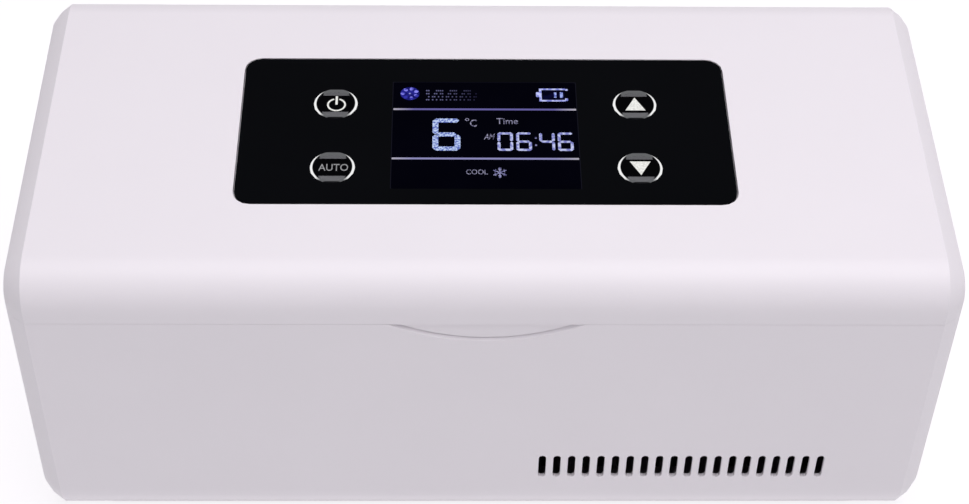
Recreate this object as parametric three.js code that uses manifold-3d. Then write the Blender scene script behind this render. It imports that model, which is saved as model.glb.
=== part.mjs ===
// Portable cooling case for insulin pens: a moulded base and hinged lid round an insulated metal tank,
// cooled by a thermoelectric module with a finned sink and a fan, and worked by four keys beside a display.
// Millimetres, X across, -Y the front, +Z up, origin on the surface under the middle of the case.
import * as THREE from "three";
import { mergeVertices } from "three/addons/utils/BufferGeometryUtils.js";
import Module from "manifold-3d";

const wasm = await Module();
wasm.setup();

// Driving dimensions

// Room left between pieces
const gap = {
  seam: 0.3, // visible line between lid and base
  seat: 0.3, // round a piece that sits in a recess
  stack: 0.1, // between flat faces that lie on each other
  run: 0.4, // beside a piece that turns or slides
  overrun: 5, // how far a cutter passes the surface that it cuts
  weld: 1e-4, // vertices closer than this are one
};

// The whole outer form, which the seam splits into base and lid
const body = {
  length: 200,
  depth: 95,
  height: 82,
  wall: 2.2,
  topRadius: 9,
  bottomRadius: 14.5,
  endBevel: 4.2, // softened bevel round both ends
  endRoundShare: 0.35, // 0 is a straight bevel, 1 a quarter round
};

const lid = {
  height: 11.25, // from the seam to the top
  tabRadius: 42.1, // arc of the finger tab under the front edge
  tabDrop: 4.2,
  tabSet: 0.35, // how far the tab's face lies behind the front
  notchBevel: 0.9, // lit edge of the notch that the tab sits in
  postRadius: 3.2,
  postEndInset: 8.5, // liner posts, from the ends and the long sides
  postSideInset: 12.5,
  ribWidth: 1.2,
  ribDrop: 5,
};

const hinge = {
  axisInset: 3.2, // from the rear face to the axis, and the knuckle's radius
  axisDrop: 5, // under the seam
  stationInset: 42, // from each end to the middle of a hinge
  knuckleLength: 16,
  lugLength: 5,
  pinRadius: 1,
  boreRadius: 1.25,
  heelGap: 0.9, // room under the knuckle, which meets the base when the lid is wide open
  sweepGap: 0.3, // room between the lid's rear edge and the rounded rear edge of the base
};

const vent = {
  count: 20,
  spacing: 3.29,
  width: 1.7,
  height: 7.7,
  lowEdge: 18.7, // above the underside
  wallThickness: 0.9, // left at the slots, where the wall is thinned from the inside
  pocketMargin: 1.5, // from the slots to the edge of the thinned part
  rowCentre: 55.45, // from the right end
};

const foot = {
  radius: 6,
  proudHeight: 1,
  recessDepth: 1.1, // depth of the recess in the underside
  endInset: 13,
  sideInset: 23.5,
  edgeRadius: 0.5,
};

const cover = {
  endInset: 21, // from each end of the case
  width: 60,
  corner: 4,
  flangeThickness: 1.1,
  thickness: 2.6,
  lipWidth: 3.2, // width of the rebate that it lies in
  innerCorner: 10,
  screwInset: 5.4, // from its edges to its screws
  screwFloorThickness: 0.6, // left under a screw's head
  bossRadius: 2.8,
  bossHeight: 6.5,
  spacerRadius: 1.5,
};

const screw = {
  headRadius: 2.1,
  headHeight: 0.8,
  shankRadius: 0.95,
  shankLength: 6,
};

const grille = {
  hubRadius: 5.5,
  slotWidth: 2.7,
  barWidth: 1.9,
  spokeWidth: 2.4,
  rings: 4,
  sectors: 4,
};

const deck = {
  drop: 0.6, // its top face lies this far under the seam
  thickness: 2,
  rimWidth: 1.2,
  rimHeight: 2,
  rimGap: 0.5,
  collarWidth: 1.4,
  collarDrop: 0.8,
  postRadius: 3.5,
  postEndInset: 8.5,
  postSideInset: 9.5,
  webWidth: 2,
};

const foam = {
  endThickness: 9.8,
  sideThickness: 13.5,
  floorThickness: 6.2,
};

const tank = {
  wall: 1.2,
  cornerRadius: 6,
  floorRadius: 3,
  flangeWidth: 3,
};

const coldBlock = { length: 50, width: 40, thickness: 4, corner: 1 };
const peltier = { sideLength: 40, thickness: 3.8, plateThickness: 0.9, pelletShare: 0.94 };

const sink = {
  length: 62,
  sideGap: 5.3, // from its front and rear faces to the walls, where the air turns
  height: 19.7,
  plateThickness: 3.5,
  finCount: 15,
  finRootWidth: 1.5,
  finTipWidth: 1.1,
};

const fan = {
  sideLength: 50,
  thickness: 10,
  cornerRadius: 4,
  ductRadius: 24,
  holeSpacing: 40,
  holeRadius: 1.9,
  tipGap: 0.8,
  hubRadius: 11.8,
  hubWall: 1.2,
  hubEdgeRadius: 0.8,
  bladeCount: 7,
  bladeThickness: 0.8,
  rootChord: 9,
  tipChord: 15,
  camberHeight: 0.9,
  taperShare: 0.6, // how much thinner a blade is at its edges
  rootAngle: 44, // degrees
  tipAngle: 27, // degrees
  sweepShare: 0.35,
  strutWidth: 2.2,
  strutThickness: 1.4,
  strutCount: 4,
  spindleRadius: 2.2,
  sleeveWall: 1.2,
  statorRadius: 9.6,
  rotorInset: 0.8,
};

const board = {
  coolerGap: 27.55, // from its right edge to the heat sink
  thickness: 1.6,
  headroom: 6.9, // from its upper face to the insulation
  endInset: 16,
  frontGap: 9.6,
  rearGap: 1.5,
  postInset: 4,
  postRadius: 2.6,
};

const boardParts = {
  plugLength: 8,
  plugWidth: 12,
  plugHeight: 6,
  plugInset: 8,
  edge: 4,
  coilRadius: 6,
  coilHeight: 5.2,
  capRadius: 3.1,
  capHeight: 5.6,
  chipSide: 8,
  chipHeight: 1.4,
  margin: 7,
};

const battery = {
  radius: 9.15,
  length: 65,
  edgeRadius: 0.8,
  capRadius: 2.9,
  capHeight: 1.1,
  sideWall: 1.6, // wall of the holder
  bedThickness: 1.4,
  wallShare: 0.72, // height of the holder's walls as a share of a cell's diameter
  endWall: 2.4,
  leftShare: 0.67, // of the free length beside the holder, what lies on its left
};

const socket = {
  length: 14,
  width: 9,
  height: 11,
  noseRadius: 4.3,
  boreRadius: 2.8,
  boreDepth: 9,
  pinRadius: 1,
  edgeInset: 0.3,
  insetShare: 0.5, // along the board
};

const probe = { length: 8, width: 5, thickness: 2.6, edge: 0.6, apart: 3 };

const leads = { radius: 0.65, moduleGap: 0.8, sides: 6, steps: 22 };

const panel = {
  length: 107.3,
  width: 46,
  centreX: 0.15,
  centreY: -0.3,
  thickness: 1.2,
  corner: 3.5,
};

const display = {
  centreX: 0.3, // of the display and the keys, from the middle of the case
  centreY: -2.3,
  glassLength: 43,
  glassWidth: 36,
  moduleLength: 47,
  moduleWidth: 40,
  moduleHeight: 3,
  glassCorner: 0.8,
};

const key = {
  spreadX: 66.4, // between the left and the right pair
  spreadY: 20.2,
  ringRadius: 4.8,
  ringWidth: 0.6,
  proudHeight: 0.15,
  crownDrop: 0.15, // the cap stands this far under its ring
  facetLength: 1.4, // sloped flats at the front and rear of the cap
  facetDrop: 0.3,
  flangeWidth: 0.85,
  flangeHeight: 0.8,
  slipGap: 0.15,
  travel: 0.5,
  shoulderWidth: 0.35,
  stemRadius: 1.7,
};

const tact = { sideLength: 6, cornerRadius: 0.75, height: 1.2, plungerRadius: 1.6, plungerHeight: 0.7 };

const lidBoard = {
  length: 92,
  width: 42,
  thickness: 1.2,
  corner: 2,
  postInset: 3,
  postRadius: 2,
};

const liner = {
  drop: 0.2, // its underside lies this far under the seam
  thickness: 1.4,
  edgeGap: 0.6,
  rearReach: 5.5, // from the hinge axis to its rear edge
  corner: 6,
  panDrop: 1.4,
  panGap: 2,
  panWall: 1.4,
  screwInset: 3.4,
};

const gasket = { width: 2.6, inset: 2.8, cornerRadius: 9, grooveDepth: 0.7 };

const magnet = { radius: 2.5, thickness: 2, skinThickness: 0.5, endInset: 25, edgeInset: 8 };

const lidFoam = { gap: 0.5, corner: 5 };

// How finely curves are divided
const facets = {
  outer: 8, // steps in a quarter turn of the outer form
  inner: 4,
  bevel: 2,
  edge: 2, // a quarter turn of an outline has twice as many steps
  coarse: 1,
  slotEnd: 4, // steps in the half turn at a slot's end
  round: 16,
  small: 8,
  ring: 16,
  duct: 24,
  tab: 72,
  blade: 3,
};

// Colours of the photographed case and usual colours of the pieces inside
const finishes = {
  whiteShell: { color: 0xeeeaef, roughness: 0.38, metalness: 0 },
  whiteInner: { color: 0xe6e3e6, roughness: 0.5, metalness: 0 },
  blackGloss: { color: 0x0a0b0e, roughness: 0.08, metalness: 0 },
  displayGlass: { color: 0x020210, roughness: 0.1, metalness: 0 },
  keyBlack: { color: 0x08080a, roughness: 0.2, metalness: 0 },
  lightRing: { color: 0xe8e8ec, roughness: 0.1, metalness: 0 },
  rubberFoot: { color: 0x2b2b2e, roughness: 0.85, metalness: 0 },
  silicone: { color: 0xc9cacf, roughness: 0.6, metalness: 0 },
  tankMetal: { color: 0xc4c7cb, roughness: 0.35, metalness: 1 },
  sinkMetal: { color: 0x3a3c40, roughness: 0.5, metalness: 1 },
  ceramic: { color: 0xefece4, roughness: 0.6, metalness: 0 },
  foamGrey: { color: 0x4a4b50, roughness: 0.95, metalness: 0 },
  circuit: { color: 0x1f5a38, roughness: 0.45, metalness: 0 },
  blackPlastic: { color: 0x17181a, roughness: 0.5, metalness: 0 },
  cellWrap: { color: 0x2d6fb0, roughness: 0.35, metalness: 0 },
  steel: { color: 0xb9bcc0, roughness: 0.3, metalness: 1 },
  magnetPlate: { color: 0xcfd1d4, roughness: 0.2, metalness: 1 },
  leadRed: { color: 0xa8201c, roughness: 0.5, metalness: 0 },
  leadBlack: { color: 0x161617, roughness: 0.5, metalness: 0 },
};

// Places that follow from the sizes

const half = { x: body.length / 2, y: body.depth / 2 };
const inner = { x: half.x - body.wall, y: half.y - body.wall };

const level = { underside: foot.proudHeight };
level.top = level.underside + body.height;
level.seam = level.top - lid.height;
level.floor = level.underside + body.wall;
level.deckTop = level.seam - deck.drop;
level.deckUnder = level.deckTop - deck.thickness;
level.rimTop = level.deckTop + deck.rimHeight;
level.coverTop = level.underside + cover.thickness;
level.fanUnder = level.coverTop + gap.stack;
level.fanTop = level.fanUnder + fan.thickness;
level.finUnder = level.fanTop + gap.seat;
level.sinkTop = level.finUnder + sink.height;
level.sinkPlateUnder = level.sinkTop - sink.plateThickness;
level.peltierUnder = level.sinkTop + gap.stack;
level.peltierTop = level.peltierUnder + peltier.thickness;
level.blockUnder = level.peltierTop + gap.stack;
level.blockTop = level.blockUnder + coldBlock.thickness;
level.tankUnder = level.blockTop + gap.stack;
level.tankFloor = level.tankUnder + tank.wall;
level.tankTop = level.deckUnder - gap.stack;
level.foamTop = level.tankTop - tank.wall - gap.stack;
level.foamUnder = level.blockTop - foam.floorThickness;
level.lidInside = level.top - body.wall;
level.panelTop = level.top;
level.panelUnder = level.panelTop - panel.thickness;
level.recess = level.panelUnder - gap.stack;
level.linerUnder = level.seam - liner.drop;
level.linerTop = level.linerUnder + liner.thickness;
level.panUnder = level.linerUnder - liner.panDrop;
level.panTop = level.panUnder + liner.panWall;
level.keyTop = level.top + key.proudHeight - key.crownDrop;
level.flangeTop = level.lidInside - gap.seat;
level.flangeUnder = level.flangeTop - key.flangeHeight;
level.stemUnder = level.flangeUnder - gap.seat;
level.tactTop = level.stemUnder - key.travel - gap.stack;
level.lidBoardTop = level.tactTop - tact.plungerHeight - tact.height;
level.lidBoardUnder = level.lidBoardTop - lidBoard.thickness;
level.boardTop = level.foamUnder - board.headroom;
level.boardUnder = level.boardTop - board.thickness;
level.coverBearing = level.underside + cover.flangeThickness - cover.screwFloorThickness;
level.deckBearing = level.deckTop - screw.headHeight - gap.stack;
level.linerBearing = level.linerUnder + screw.headHeight + gap.stack;

const axis = { y: half.y - hinge.axisInset, z: level.seam - hinge.axisDrop };
const stations = [-(half.x - hinge.stationInset), half.x - hinge.stationInset];
const tankOuter = {
  x: inner.x - gap.seat - foam.endThickness - gap.seat,
  y: inner.y - gap.seat - foam.sideThickness - gap.seat,
};
const mouth = { x: tankOuter.x - tank.wall, y: tankOuter.y - tank.wall };
const cooler = { x: half.x - vent.rowCentre, y: 0 };
const boardEdge = {
  left: board.endInset - half.x,
  right: cooler.x - sink.length / 2 - board.coolerGap,
  front: board.frontGap - inner.y,
  rear: inner.y - board.rearGap,
};
const keyPlaces = {
  power: [display.centreX - key.spreadX / 2, display.centreY + key.spreadY / 2],
  auto: [display.centreX - key.spreadX / 2, display.centreY - key.spreadY / 2],
  up: [display.centreX + key.spreadX / 2, display.centreY + key.spreadY / 2],
  down: [display.centreX + key.spreadX / 2, display.centreY - key.spreadY / 2],
};
const deckPosts = corners(half.x - deck.postEndInset, half.y - deck.postSideInset);
const lidPosts = corners(half.x - lid.postEndInset, half.y - lid.postSideInset);
const coverLength = body.length - 2 * cover.endInset;
const coverScrews = corners(coverLength / 2 - cover.screwInset, cover.width / 2 - cover.screwInset);
const footPlaces = corners(half.x - foot.endInset, half.y - foot.sideInset);

// Solids from three.js geometry

function corners(x, y) {
  return {
    front_left: [-x, -y],
    front_right: [x, -y],
    rear_left: [-x, y],
    rear_right: [x, y],
  };
}

function solid(geometry) {
  const bare = geometry.index ? geometry.toNonIndexed() : geometry.clone();
  bare.deleteAttribute("normal");
  bare.deleteAttribute("uv");
  const merged = mergeVertices(bare, gap.weld);
  const source = merged.index.array;
  const kept = [];
  for (let i = 0; i < source.length; i += 3) {
    const [a, b, c] = source.subarray(i, i + 3);
    if (a !== b && b !== c && c !== a) kept.push(a, b, c);
  }
  const mesh = new wasm.Mesh({
    numProp: 3,
    vertProperties: merged.attributes.position.array,
    triVerts: new Uint32Array(kept),
  });
  return new wasm.Manifold(mesh);
}

const join = (first, ...others) => others.reduce((all, next) => all.add(next), first);
const cut = (first, ...others) => others.reduce((all, next) => all.subtract(next), first);

// A box between two corners, in either order
function block(x0, x1, y0, y1, z0, z1) {
  const geometry = new THREE.BoxGeometry(Math.abs(x1 - x0), Math.abs(y1 - y0), Math.abs(z1 - z0));
  return solid(geometry.translate((x0 + x1) / 2, (y0 + y1) / 2, (z0 + z1) / 2));
}

// A shape drawn in XY, raised from z0 to z1
function plate(shape, z0, z1, curve = facets.edge) {
  const options = { depth: z1 - z0, bevelEnabled: false, curveSegments: curve };
  return solid(new THREE.ExtrudeGeometry(shape, options).translate(0, 0, z0));
}

// A cutter of such a shape that passes both faces
function through(shape, z0, z1, curve) {
  return plate(shape, z0 - gap.overrun, z1 + gap.overrun, curve);
}

// A shape drawn in YZ, drawn out from x0 to x1
const alongX = new THREE.Matrix4().makeBasis(
  new THREE.Vector3(0, 1, 0),
  new THREE.Vector3(0, 0, 1),
  new THREE.Vector3(1, 0, 0),
);
function bar(shape, x0, x1, curve = facets.edge) {
  const options = { depth: x1 - x0, bevelEnabled: false, curveSegments: curve };
  const geometry = new THREE.ExtrudeGeometry(shape, options).applyMatrix4(alongX);
  return solid(geometry.translate(x0, 0, 0));
}

// A shape drawn in XZ, drawn out from y0 back to y1
const alongY = new THREE.Matrix4().makeBasis(
  new THREE.Vector3(1, 0, 0),
  new THREE.Vector3(0, 0, 1),
  new THREE.Vector3(0, -1, 0),
);
function slab(shape, y0, y1, curve = facets.edge) {
  const options = { depth: y1 - y0, bevelEnabled: false, curveSegments: curve };
  const geometry = new THREE.ExtrudeGeometry(shape, options).applyMatrix4(alongY);
  return solid(geometry.translate(0, y1, 0));
}

// A profile of [radius, height] points turned about an upright axis at x, y
function turned(profile, x = 0, y = 0, segments = facets.round) {
  const points = profile.map(([r, z]) => new THREE.Vector2(r, z));
  const geometry = new THREE.LatheGeometry(points, segments).rotateX(Math.PI / 2);
  return solid(geometry.translate(x, y, 0));
}

// An upright round bar between two heights, in either order
function disc(radius, z0, z1, x = 0, y = 0, segments = facets.round) {
  const low = Math.min(z0, z1);
  const high = Math.max(z0, z1);
  return turned([[0, low], [radius, low], [radius, high], [0, high]], x, y, segments);
}

function post(radius, z0, z1, [x, y]) {
  return disc(radius, z0, z1, x, y, facets.small);
}

// A round bar along X or Y
function rod(radius, from, to, centre, direction, segments = facets.small) {
  const profile = [[0, from], [radius, from], [radius, to], [0, to]];
  const points = profile.map(([r, z]) => new THREE.Vector2(r, z));
  const geometry = new THREE.LatheGeometry(points, segments);
  if (direction === "x") geometry.rotateZ(-Math.PI / 2);
  return solid(geometry.translate(...centre));
}

function roundedRect(x0, x1, y0, y1, radius, path = new THREE.Shape()) {
  path.moveTo(x0 + radius, y0);
  path.lineTo(x1 - radius, y0);
  path.absarc(x1 - radius, y0 + radius, radius, -Math.PI / 2, 0, false);
  path.lineTo(x1, y1 - radius);
  path.absarc(x1 - radius, y1 - radius, radius, 0, Math.PI / 2, false);
  path.lineTo(x0 + radius, y1);
  path.absarc(x0 + radius, y1 - radius, radius, Math.PI / 2, Math.PI, false);
  path.lineTo(x0, y0 + radius);
  path.absarc(x0 + radius, y0 + radius, radius, Math.PI, Math.PI * 1.5, false);
  return path;
}

function centredRect(length, width, radius, x = 0, y = 0) {
  return roundedRect(x - length / 2, x + length / 2, y - width / 2, y + width / 2, radius);
}

function circle(radius, x = 0, y = 0, path = new THREE.Shape()) {
  return path.absarc(x, y, radius, 0, Math.PI * 2, false);
}

function polygon(points) {
  return new THREE.Shape(points.map(([x, y]) => new THREE.Vector2(x, y)));
}

// Joins rings of equally many points into one closed body
function loft(rings) {
  const count = rings[0].length;
  const positions = rings.flat().flatMap((p) => [p.x, p.y, p.z]);
  const index = [];
  for (let r = 0; r + 1 < rings.length; r++) {
    for (let i = 0; i < count; i++) {
      const a = r * count + i;
      const b = r * count + ((i + 1) % count);
      index.push(a, b, b + count, a, b + count, a + count);
    }
  }
  const last = (rings.length - 1) * count;
  for (let i = 1; i + 1 < count; i++) {
    index.push(0, i + 1, i);
    index.push(last, last + i, last + i + 1);
  }
  const geometry = new THREE.BufferGeometry();
  geometry.setAttribute("position", new THREE.Float32BufferAttribute(positions, 3));
  geometry.setIndex(index);
  const made = solid(geometry);
  if (made.volume() < 0) throw new Error("a loft is inside out");
  return made;
}

// The case's outer form, or the same form drawn in by a wall

// What each leg of a bevel at 45 degrees loses of an inset
const mitreShare = 2 - Math.SQRT2;

function caseRing(x, inset, steps) {
  const shape = new THREE.Path();
  const low = level.underside + inset;
  const high = level.top - inset;
  const side = half.y - inset;
  const bottom = body.bottomRadius - inset;
  const top = body.topRadius - inset;
  shape.absarc(side - bottom, low + bottom, bottom, -Math.PI / 2, 0, false);
  shape.absarc(side - top, high - top, top, 0, Math.PI / 2, false);
  shape.absarc(top - side, high - top, top, Math.PI / 2, Math.PI, false);
  shape.absarc(bottom - side, low + bottom, bottom, Math.PI, Math.PI * 1.5, false);
  const points = shape.curves.flatMap((curve) => {
    return curve.type === "LineCurve" ? [] : curve.getPoints(steps);
  });
  return points.map((p) => new THREE.Vector3(x, p.x, p.y));
}

function caseForm(inset, roundSteps) {
  const bevel = body.endBevel - inset * mitreShare;
  const end = half.x - inset;
  const steps = [];
  for (let i = 0; i <= facets.bevel; i++) {
    const t = i / facets.bevel;
    const turn = (t * Math.PI) / 2;
    const soft = body.endRoundShare;
    const drawnIn = (1 - soft) * (1 - t) + soft * (1 - Math.sin(turn));
    const fromEnd = (1 - soft) * t + soft * (1 - Math.cos(turn));
    steps.push({ drawnIn: bevel * drawnIn, fromEnd: bevel * fromEnd });
  }
  const left = steps.map((s) => caseRing(s.fromEnd - end, inset + s.drawnIn, roundSteps));
  const right = steps.map((s) => caseRing(end - s.fromEnd, inset + s.drawnIn, roundSteps)).reverse();
  return loft([...left, ...right]);
}

const outerForm = caseForm(0, facets.outer);
const innerForm = caseForm(body.wall, facets.inner);
const wide = { x: half.x + gap.overrun, y: half.y + gap.overrun };

function slice(z0, z1) {
  return block(-wide.x, wide.x, -wide.y, wide.y, z0, z1);
}

// The finger tab under the middle of the lid's front edge, and the notch for it
function tabDisc(radius, y0, y1) {
  const middle = level.seam - lid.tabDrop + lid.tabRadius;
  const round = rod(radius, y0, y1, [0, 0, middle], "y", facets.tab);
  return round.intersect(slice(level.underside, level.seam + body.wall));
}

// Everything that turns past the base's rear edge stays outside this radius
const rearSweep = Math.hypot(
  hinge.axisInset - body.wall,
  hinge.axisDrop + gap.seam / 2,
) - hinge.sweepGap;

function rearEdgeCutter() {
  const waste = block(-wide.x, wide.x, axis.y, wide.y, axis.z, level.top);
  const kept = rod(rearSweep, -wide.x, wide.x, [0, axis.y, axis.z], "x", facets.ring * 2);
  return cut(waste, kept).intersect(slice(axis.z + hinge.axisInset, level.seam + gap.overrun));
}

// Base

function ventRow(y0, y1) {
  const first = cooler.x - ((vent.count - 1) * vent.spacing) / 2;
  const radius = vent.width / 2;
  const low = level.underside + vent.lowEdge + radius;
  const high = low + vent.height - vent.width;
  const slots = [];
  for (let i = 0; i < vent.count; i++) {
    const x = first + i * vent.spacing;
    const outline = [];
    for (let step = 0; step <= facets.slotEnd; step++) {
      const turn = (step * Math.PI) / facets.slotEnd;
      outline.push([x + radius * Math.cos(turn), high + radius * Math.sin(turn)]);
    }
    for (let step = 0; step <= facets.slotEnd; step++) {
      const turn = Math.PI + (step * Math.PI) / facets.slotEnd;
      outline.push([x + radius * Math.cos(turn), low + radius * Math.sin(turn)]);
    }
    slots.push(slab(polygon(outline), y0, y1));
  }
  return join(...slots);
}

function ventPocket(y0, y1) {
  const reach = ((vent.count - 1) * vent.spacing + vent.width) / 2 + vent.pocketMargin;
  const low = level.underside + vent.lowEdge - vent.pocketMargin;
  return block(cooler.x - reach, cooler.x + reach, y0, y1, low, low + vent.height + 2 * vent.pocketMargin);
}

function baseShell() {
  let shell = outerForm.intersect(slice(level.underside, level.seam - gap.seam / 2));
  shell = cut(shell, rearEdgeCutter(), innerForm);

  // Notch for the finger tab, with its lit bevel
  const front = -half.y;
  const notchRadius = lid.tabRadius + gap.seat;
  const outside = front - gap.overrun;
  const inside = front + body.wall + gap.overrun;
  shell = cut(shell, tabDisc(notchRadius, outside, inside), tabBevel(notchRadius, front));

  // Air slots at the front and rear
  const thinned = half.y - vent.wallThickness;
  shell = cut(shell, ventRow(outside, inside), ventRow(-inside, -outside));
  shell = cut(shell, ventPocket(-thinned, inside), ventPocket(-inside, thinned));

  // Hinge lugs and the openings that the lid's knuckles turn in
  const notchHalf = hinge.knuckleLength / 2 + gap.run;
  for (const x of stations) {
    const reach = notchHalf + hinge.lugLength;
    const lug = rod(hinge.axisInset, x - reach, x + reach, [0, axis.y, axis.z], "x");
    const low = axis.z - hinge.axisInset;
    const root = block(x - reach, x + reach, axis.y, inner.y + gap.seat, low, axis.z);
    const past = reach + gap.overrun;
    const bore = rod(hinge.boreRadius, x - past, x + past, [0, axis.y, axis.z], "x");
    const opening = block(x - notchHalf, x + notchHalf, 0, wide.y, low - hinge.heelGap, level.top);
    shell = cut(join(shell, lug, root), bore, opening);
  }

  // Posts and webs for the deck, in the four corners
  const postFoot = level.floor - body.wall / 2;
  const deckSeat = level.deckUnder - gap.stack;
  for (const [x, y] of Object.values(deckPosts)) {
    const wallX = Math.sign(x) * (inner.x + body.wall / 2);
    const webFoot = level.underside + body.bottomRadius;
    const web = block(x, wallX, y - deck.webWidth / 2, y + deck.webWidth / 2, webFoot, deckSeat);
    const upright = post(deck.postRadius, postFoot, deckSeat, [x, y]);
    const posted = join(shell, upright, web).intersect(outerForm);
    shell = cut(posted, pilotHole([x, y], level.deckBearing, -1));
  }

  // Posts for the main board
  for (const at of boardPosts()) {
    shell = join(shell, post(board.postRadius, postFoot, level.boardUnder - gap.stack, at));
  }

  // Opening, rebate and screw bosses for the bottom cover
  const rebateLength = coverLength + 2 * gap.seat;
  const rebateWidth = cover.width + 2 * gap.seat;
  const rebate = centredRect(rebateLength, rebateWidth, cover.corner + gap.seat);
  const openLength = coverLength - 2 * cover.lipWidth;
  const openWidth = cover.width - 2 * cover.lipWidth;
  const open = centredRect(openLength, openWidth, cover.innerCorner);
  const rebateTop = level.underside + cover.flangeThickness + gap.stack;
  shell = cut(shell, through(open, level.underside, level.floor));
  for (const [x, y] of Object.values(coverScrews)) {
    const outX = x + Math.sign(x) * cover.screwInset;
    const outY = y + Math.sign(y) * cover.screwInset;
    const boss = post(cover.bossRadius, level.underside, rebateTop + cover.bossHeight, [x, y]);
    shell = join(shell, boss, block(x, outX, y, outY, level.underside, level.floor));
  }
  shell = cut(shell, plate(rebate, level.underside - gap.overrun, rebateTop));
  for (const at of Object.values(coverScrews)) {
    shell = cut(shell, pilotHole(at, level.coverBearing, 1));
  }

  // Recesses for the feet
  const footTop = level.underside + foot.recessDepth;
  for (const [x, y] of Object.values(footPlaces)) {
    shell = cut(shell, disc(foot.radius + gap.seat, level.underside - gap.overrun, footTop, x, y));
  }

  // Hole for the power socket
  const nose = socket.noseRadius + gap.seat;
  const at = [socketX(), 0, socketZ()];
  return cut(shell, rod(nose, inner.y - gap.overrun, half.y + gap.overrun, at, "y"));
}

// A flat cone round the notch's arc, which bevels its outer edge
function tabBevel(radius, front) {
  const middle = level.seam - lid.tabDrop + lid.tabRadius;
  const depth = lid.notchBevel;
  const profile = [
    [0, front - gap.overrun],
    [radius + depth + gap.overrun, front - gap.overrun],
    [radius, front + depth],
    [0, front + depth],
  ];
  const points = profile.map(([r, y]) => new THREE.Vector2(r, y));
  const cone = solid(new THREE.LatheGeometry(points, facets.tab).translate(0, 0, middle));
  return cone.intersect(slice(level.underside, level.seam));
}

function boardPosts() {
  const left = boardEdge.left + board.postInset;
  const right = boardEdge.right - board.postInset;
  const y = half.y - body.bottomRadius;
  return [[left, -y], [right, -y], [left, y], [right, y]];
}

function socketX() {
  return boardEdge.left + (boardEdge.right - boardEdge.left) * socket.insetShare;
}

function socketZ() {
  return level.boardUnder - gap.stack - socket.height / 2;
}

function bottomCover() {
  const flange = centredRect(coverLength, cover.width, cover.corner);
  const raisedLength = coverLength - 2 * cover.lipWidth - 2 * gap.seat;
  const raisedWidth = cover.width - 2 * cover.lipWidth - 2 * gap.seat;
  const raised = centredRect(raisedLength, raisedWidth, cover.innerCorner - gap.seat);
  let made = join(
    plate(flange, level.underside, level.underside + cover.flangeThickness),
    plate(raised, level.underside, level.coverTop),
  );
  const reach = cover.screwInset + gap.seat;
  const top = level.coverTop + gap.overrun;
  const start = level.underside + cover.flangeThickness;
  for (const [x, y] of Object.values(coverScrews)) {
    const outX = x + Math.sign(x) * reach;
    const outY = y + Math.sign(y) * reach;
    const corner = block(x, outX, y, outY, start, top);
    const bossRoom = post(cover.bossRadius + gap.seat, start, top, [x, y]);
    made = cut(made, bossRoom, corner, screwRoom([x, y], level.coverBearing, 1));
  }
  made = cut(made, through(fanGrille(), level.underside, level.coverTop));
  for (const at of fanHoles()) {
    made = join(made, post(cover.spacerRadius, level.coverTop, level.fanTop, at));
  }
  return made;
}

// Curved slots in rings under the fan, as separate outlines
function fanGrille() {
  const outlines = [];
  for (let ring = 0; ring < grille.rings; ring++) {
    const near = grille.hubRadius + ring * (grille.slotWidth + grille.barWidth);
    const far = near + grille.slotWidth;
    for (let sector = 0; sector < grille.sectors; sector++) {
      const start = (sector * 2 * Math.PI) / grille.sectors + Math.PI / grille.sectors;
      const end = start + (2 * Math.PI) / grille.sectors;
      const nearTrim = Math.asin(grille.spokeWidth / 2 / near);
      const farTrim = Math.asin(grille.spokeWidth / 2 / far);
      const outline = new THREE.Shape();
      outline.absarc(cooler.x, cooler.y, far, start + farTrim, end - farTrim, false);
      outline.absarc(cooler.x, cooler.y, near, end - nearTrim, start + nearTrim, true);
      outlines.push(outline);
    }
  }
  return outlines;
}

function fanHoles() {
  const away = fan.holeSpacing / 2;
  return Object.values(corners(away, away)).map(([x, y]) => [cooler.x + x, cooler.y + y]);
}

function footPad([x, y]) {
  const top = level.underside + foot.recessDepth - gap.stack;
  const profile = [
    [0, 0],
    [foot.radius - foot.edgeRadius, 0],
    [foot.radius, foot.edgeRadius],
    [foot.radius, top],
    [0, top],
  ];
  return turned(profile, x, y);
}

// A low-headed screw whose head bears at a height, its shank pointing up (1) or down (-1)
function screwAt([x, y], bearing, way) {
  const face = bearing - way * screw.headHeight;
  const tip = bearing + way * screw.shankLength;
  const points = [
    [0, face],
    [screw.headRadius, face],
    [screw.headRadius, bearing],
    [screw.shankRadius, bearing],
    [screw.shankRadius, tip],
    [0, tip],
  ];
  return turned(way > 0 ? points : points.reverse(), x, y, facets.small);
}

// The room that such a screw needs in the piece under its head
function screwRoom(at, bearing, way) {
  const seat = bearing + way * gap.stack;
  const outer = seat - way * gap.overrun;
  const end = seat + way * (screw.shankLength + gap.overrun);
  return join(
    post(screw.headRadius + gap.seat, outer, seat, at),
    post(screw.shankRadius + gap.seat, outer, end, at),
  );
}

// The pilot hole in the post or boss that the shank goes into
function pilotHole(at, bearing, way) {
  return post(screw.shankRadius + gap.stack, bearing, bearing + way * (screw.shankLength + gap.seat), at);
}

// Deck, tank and insulation

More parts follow.
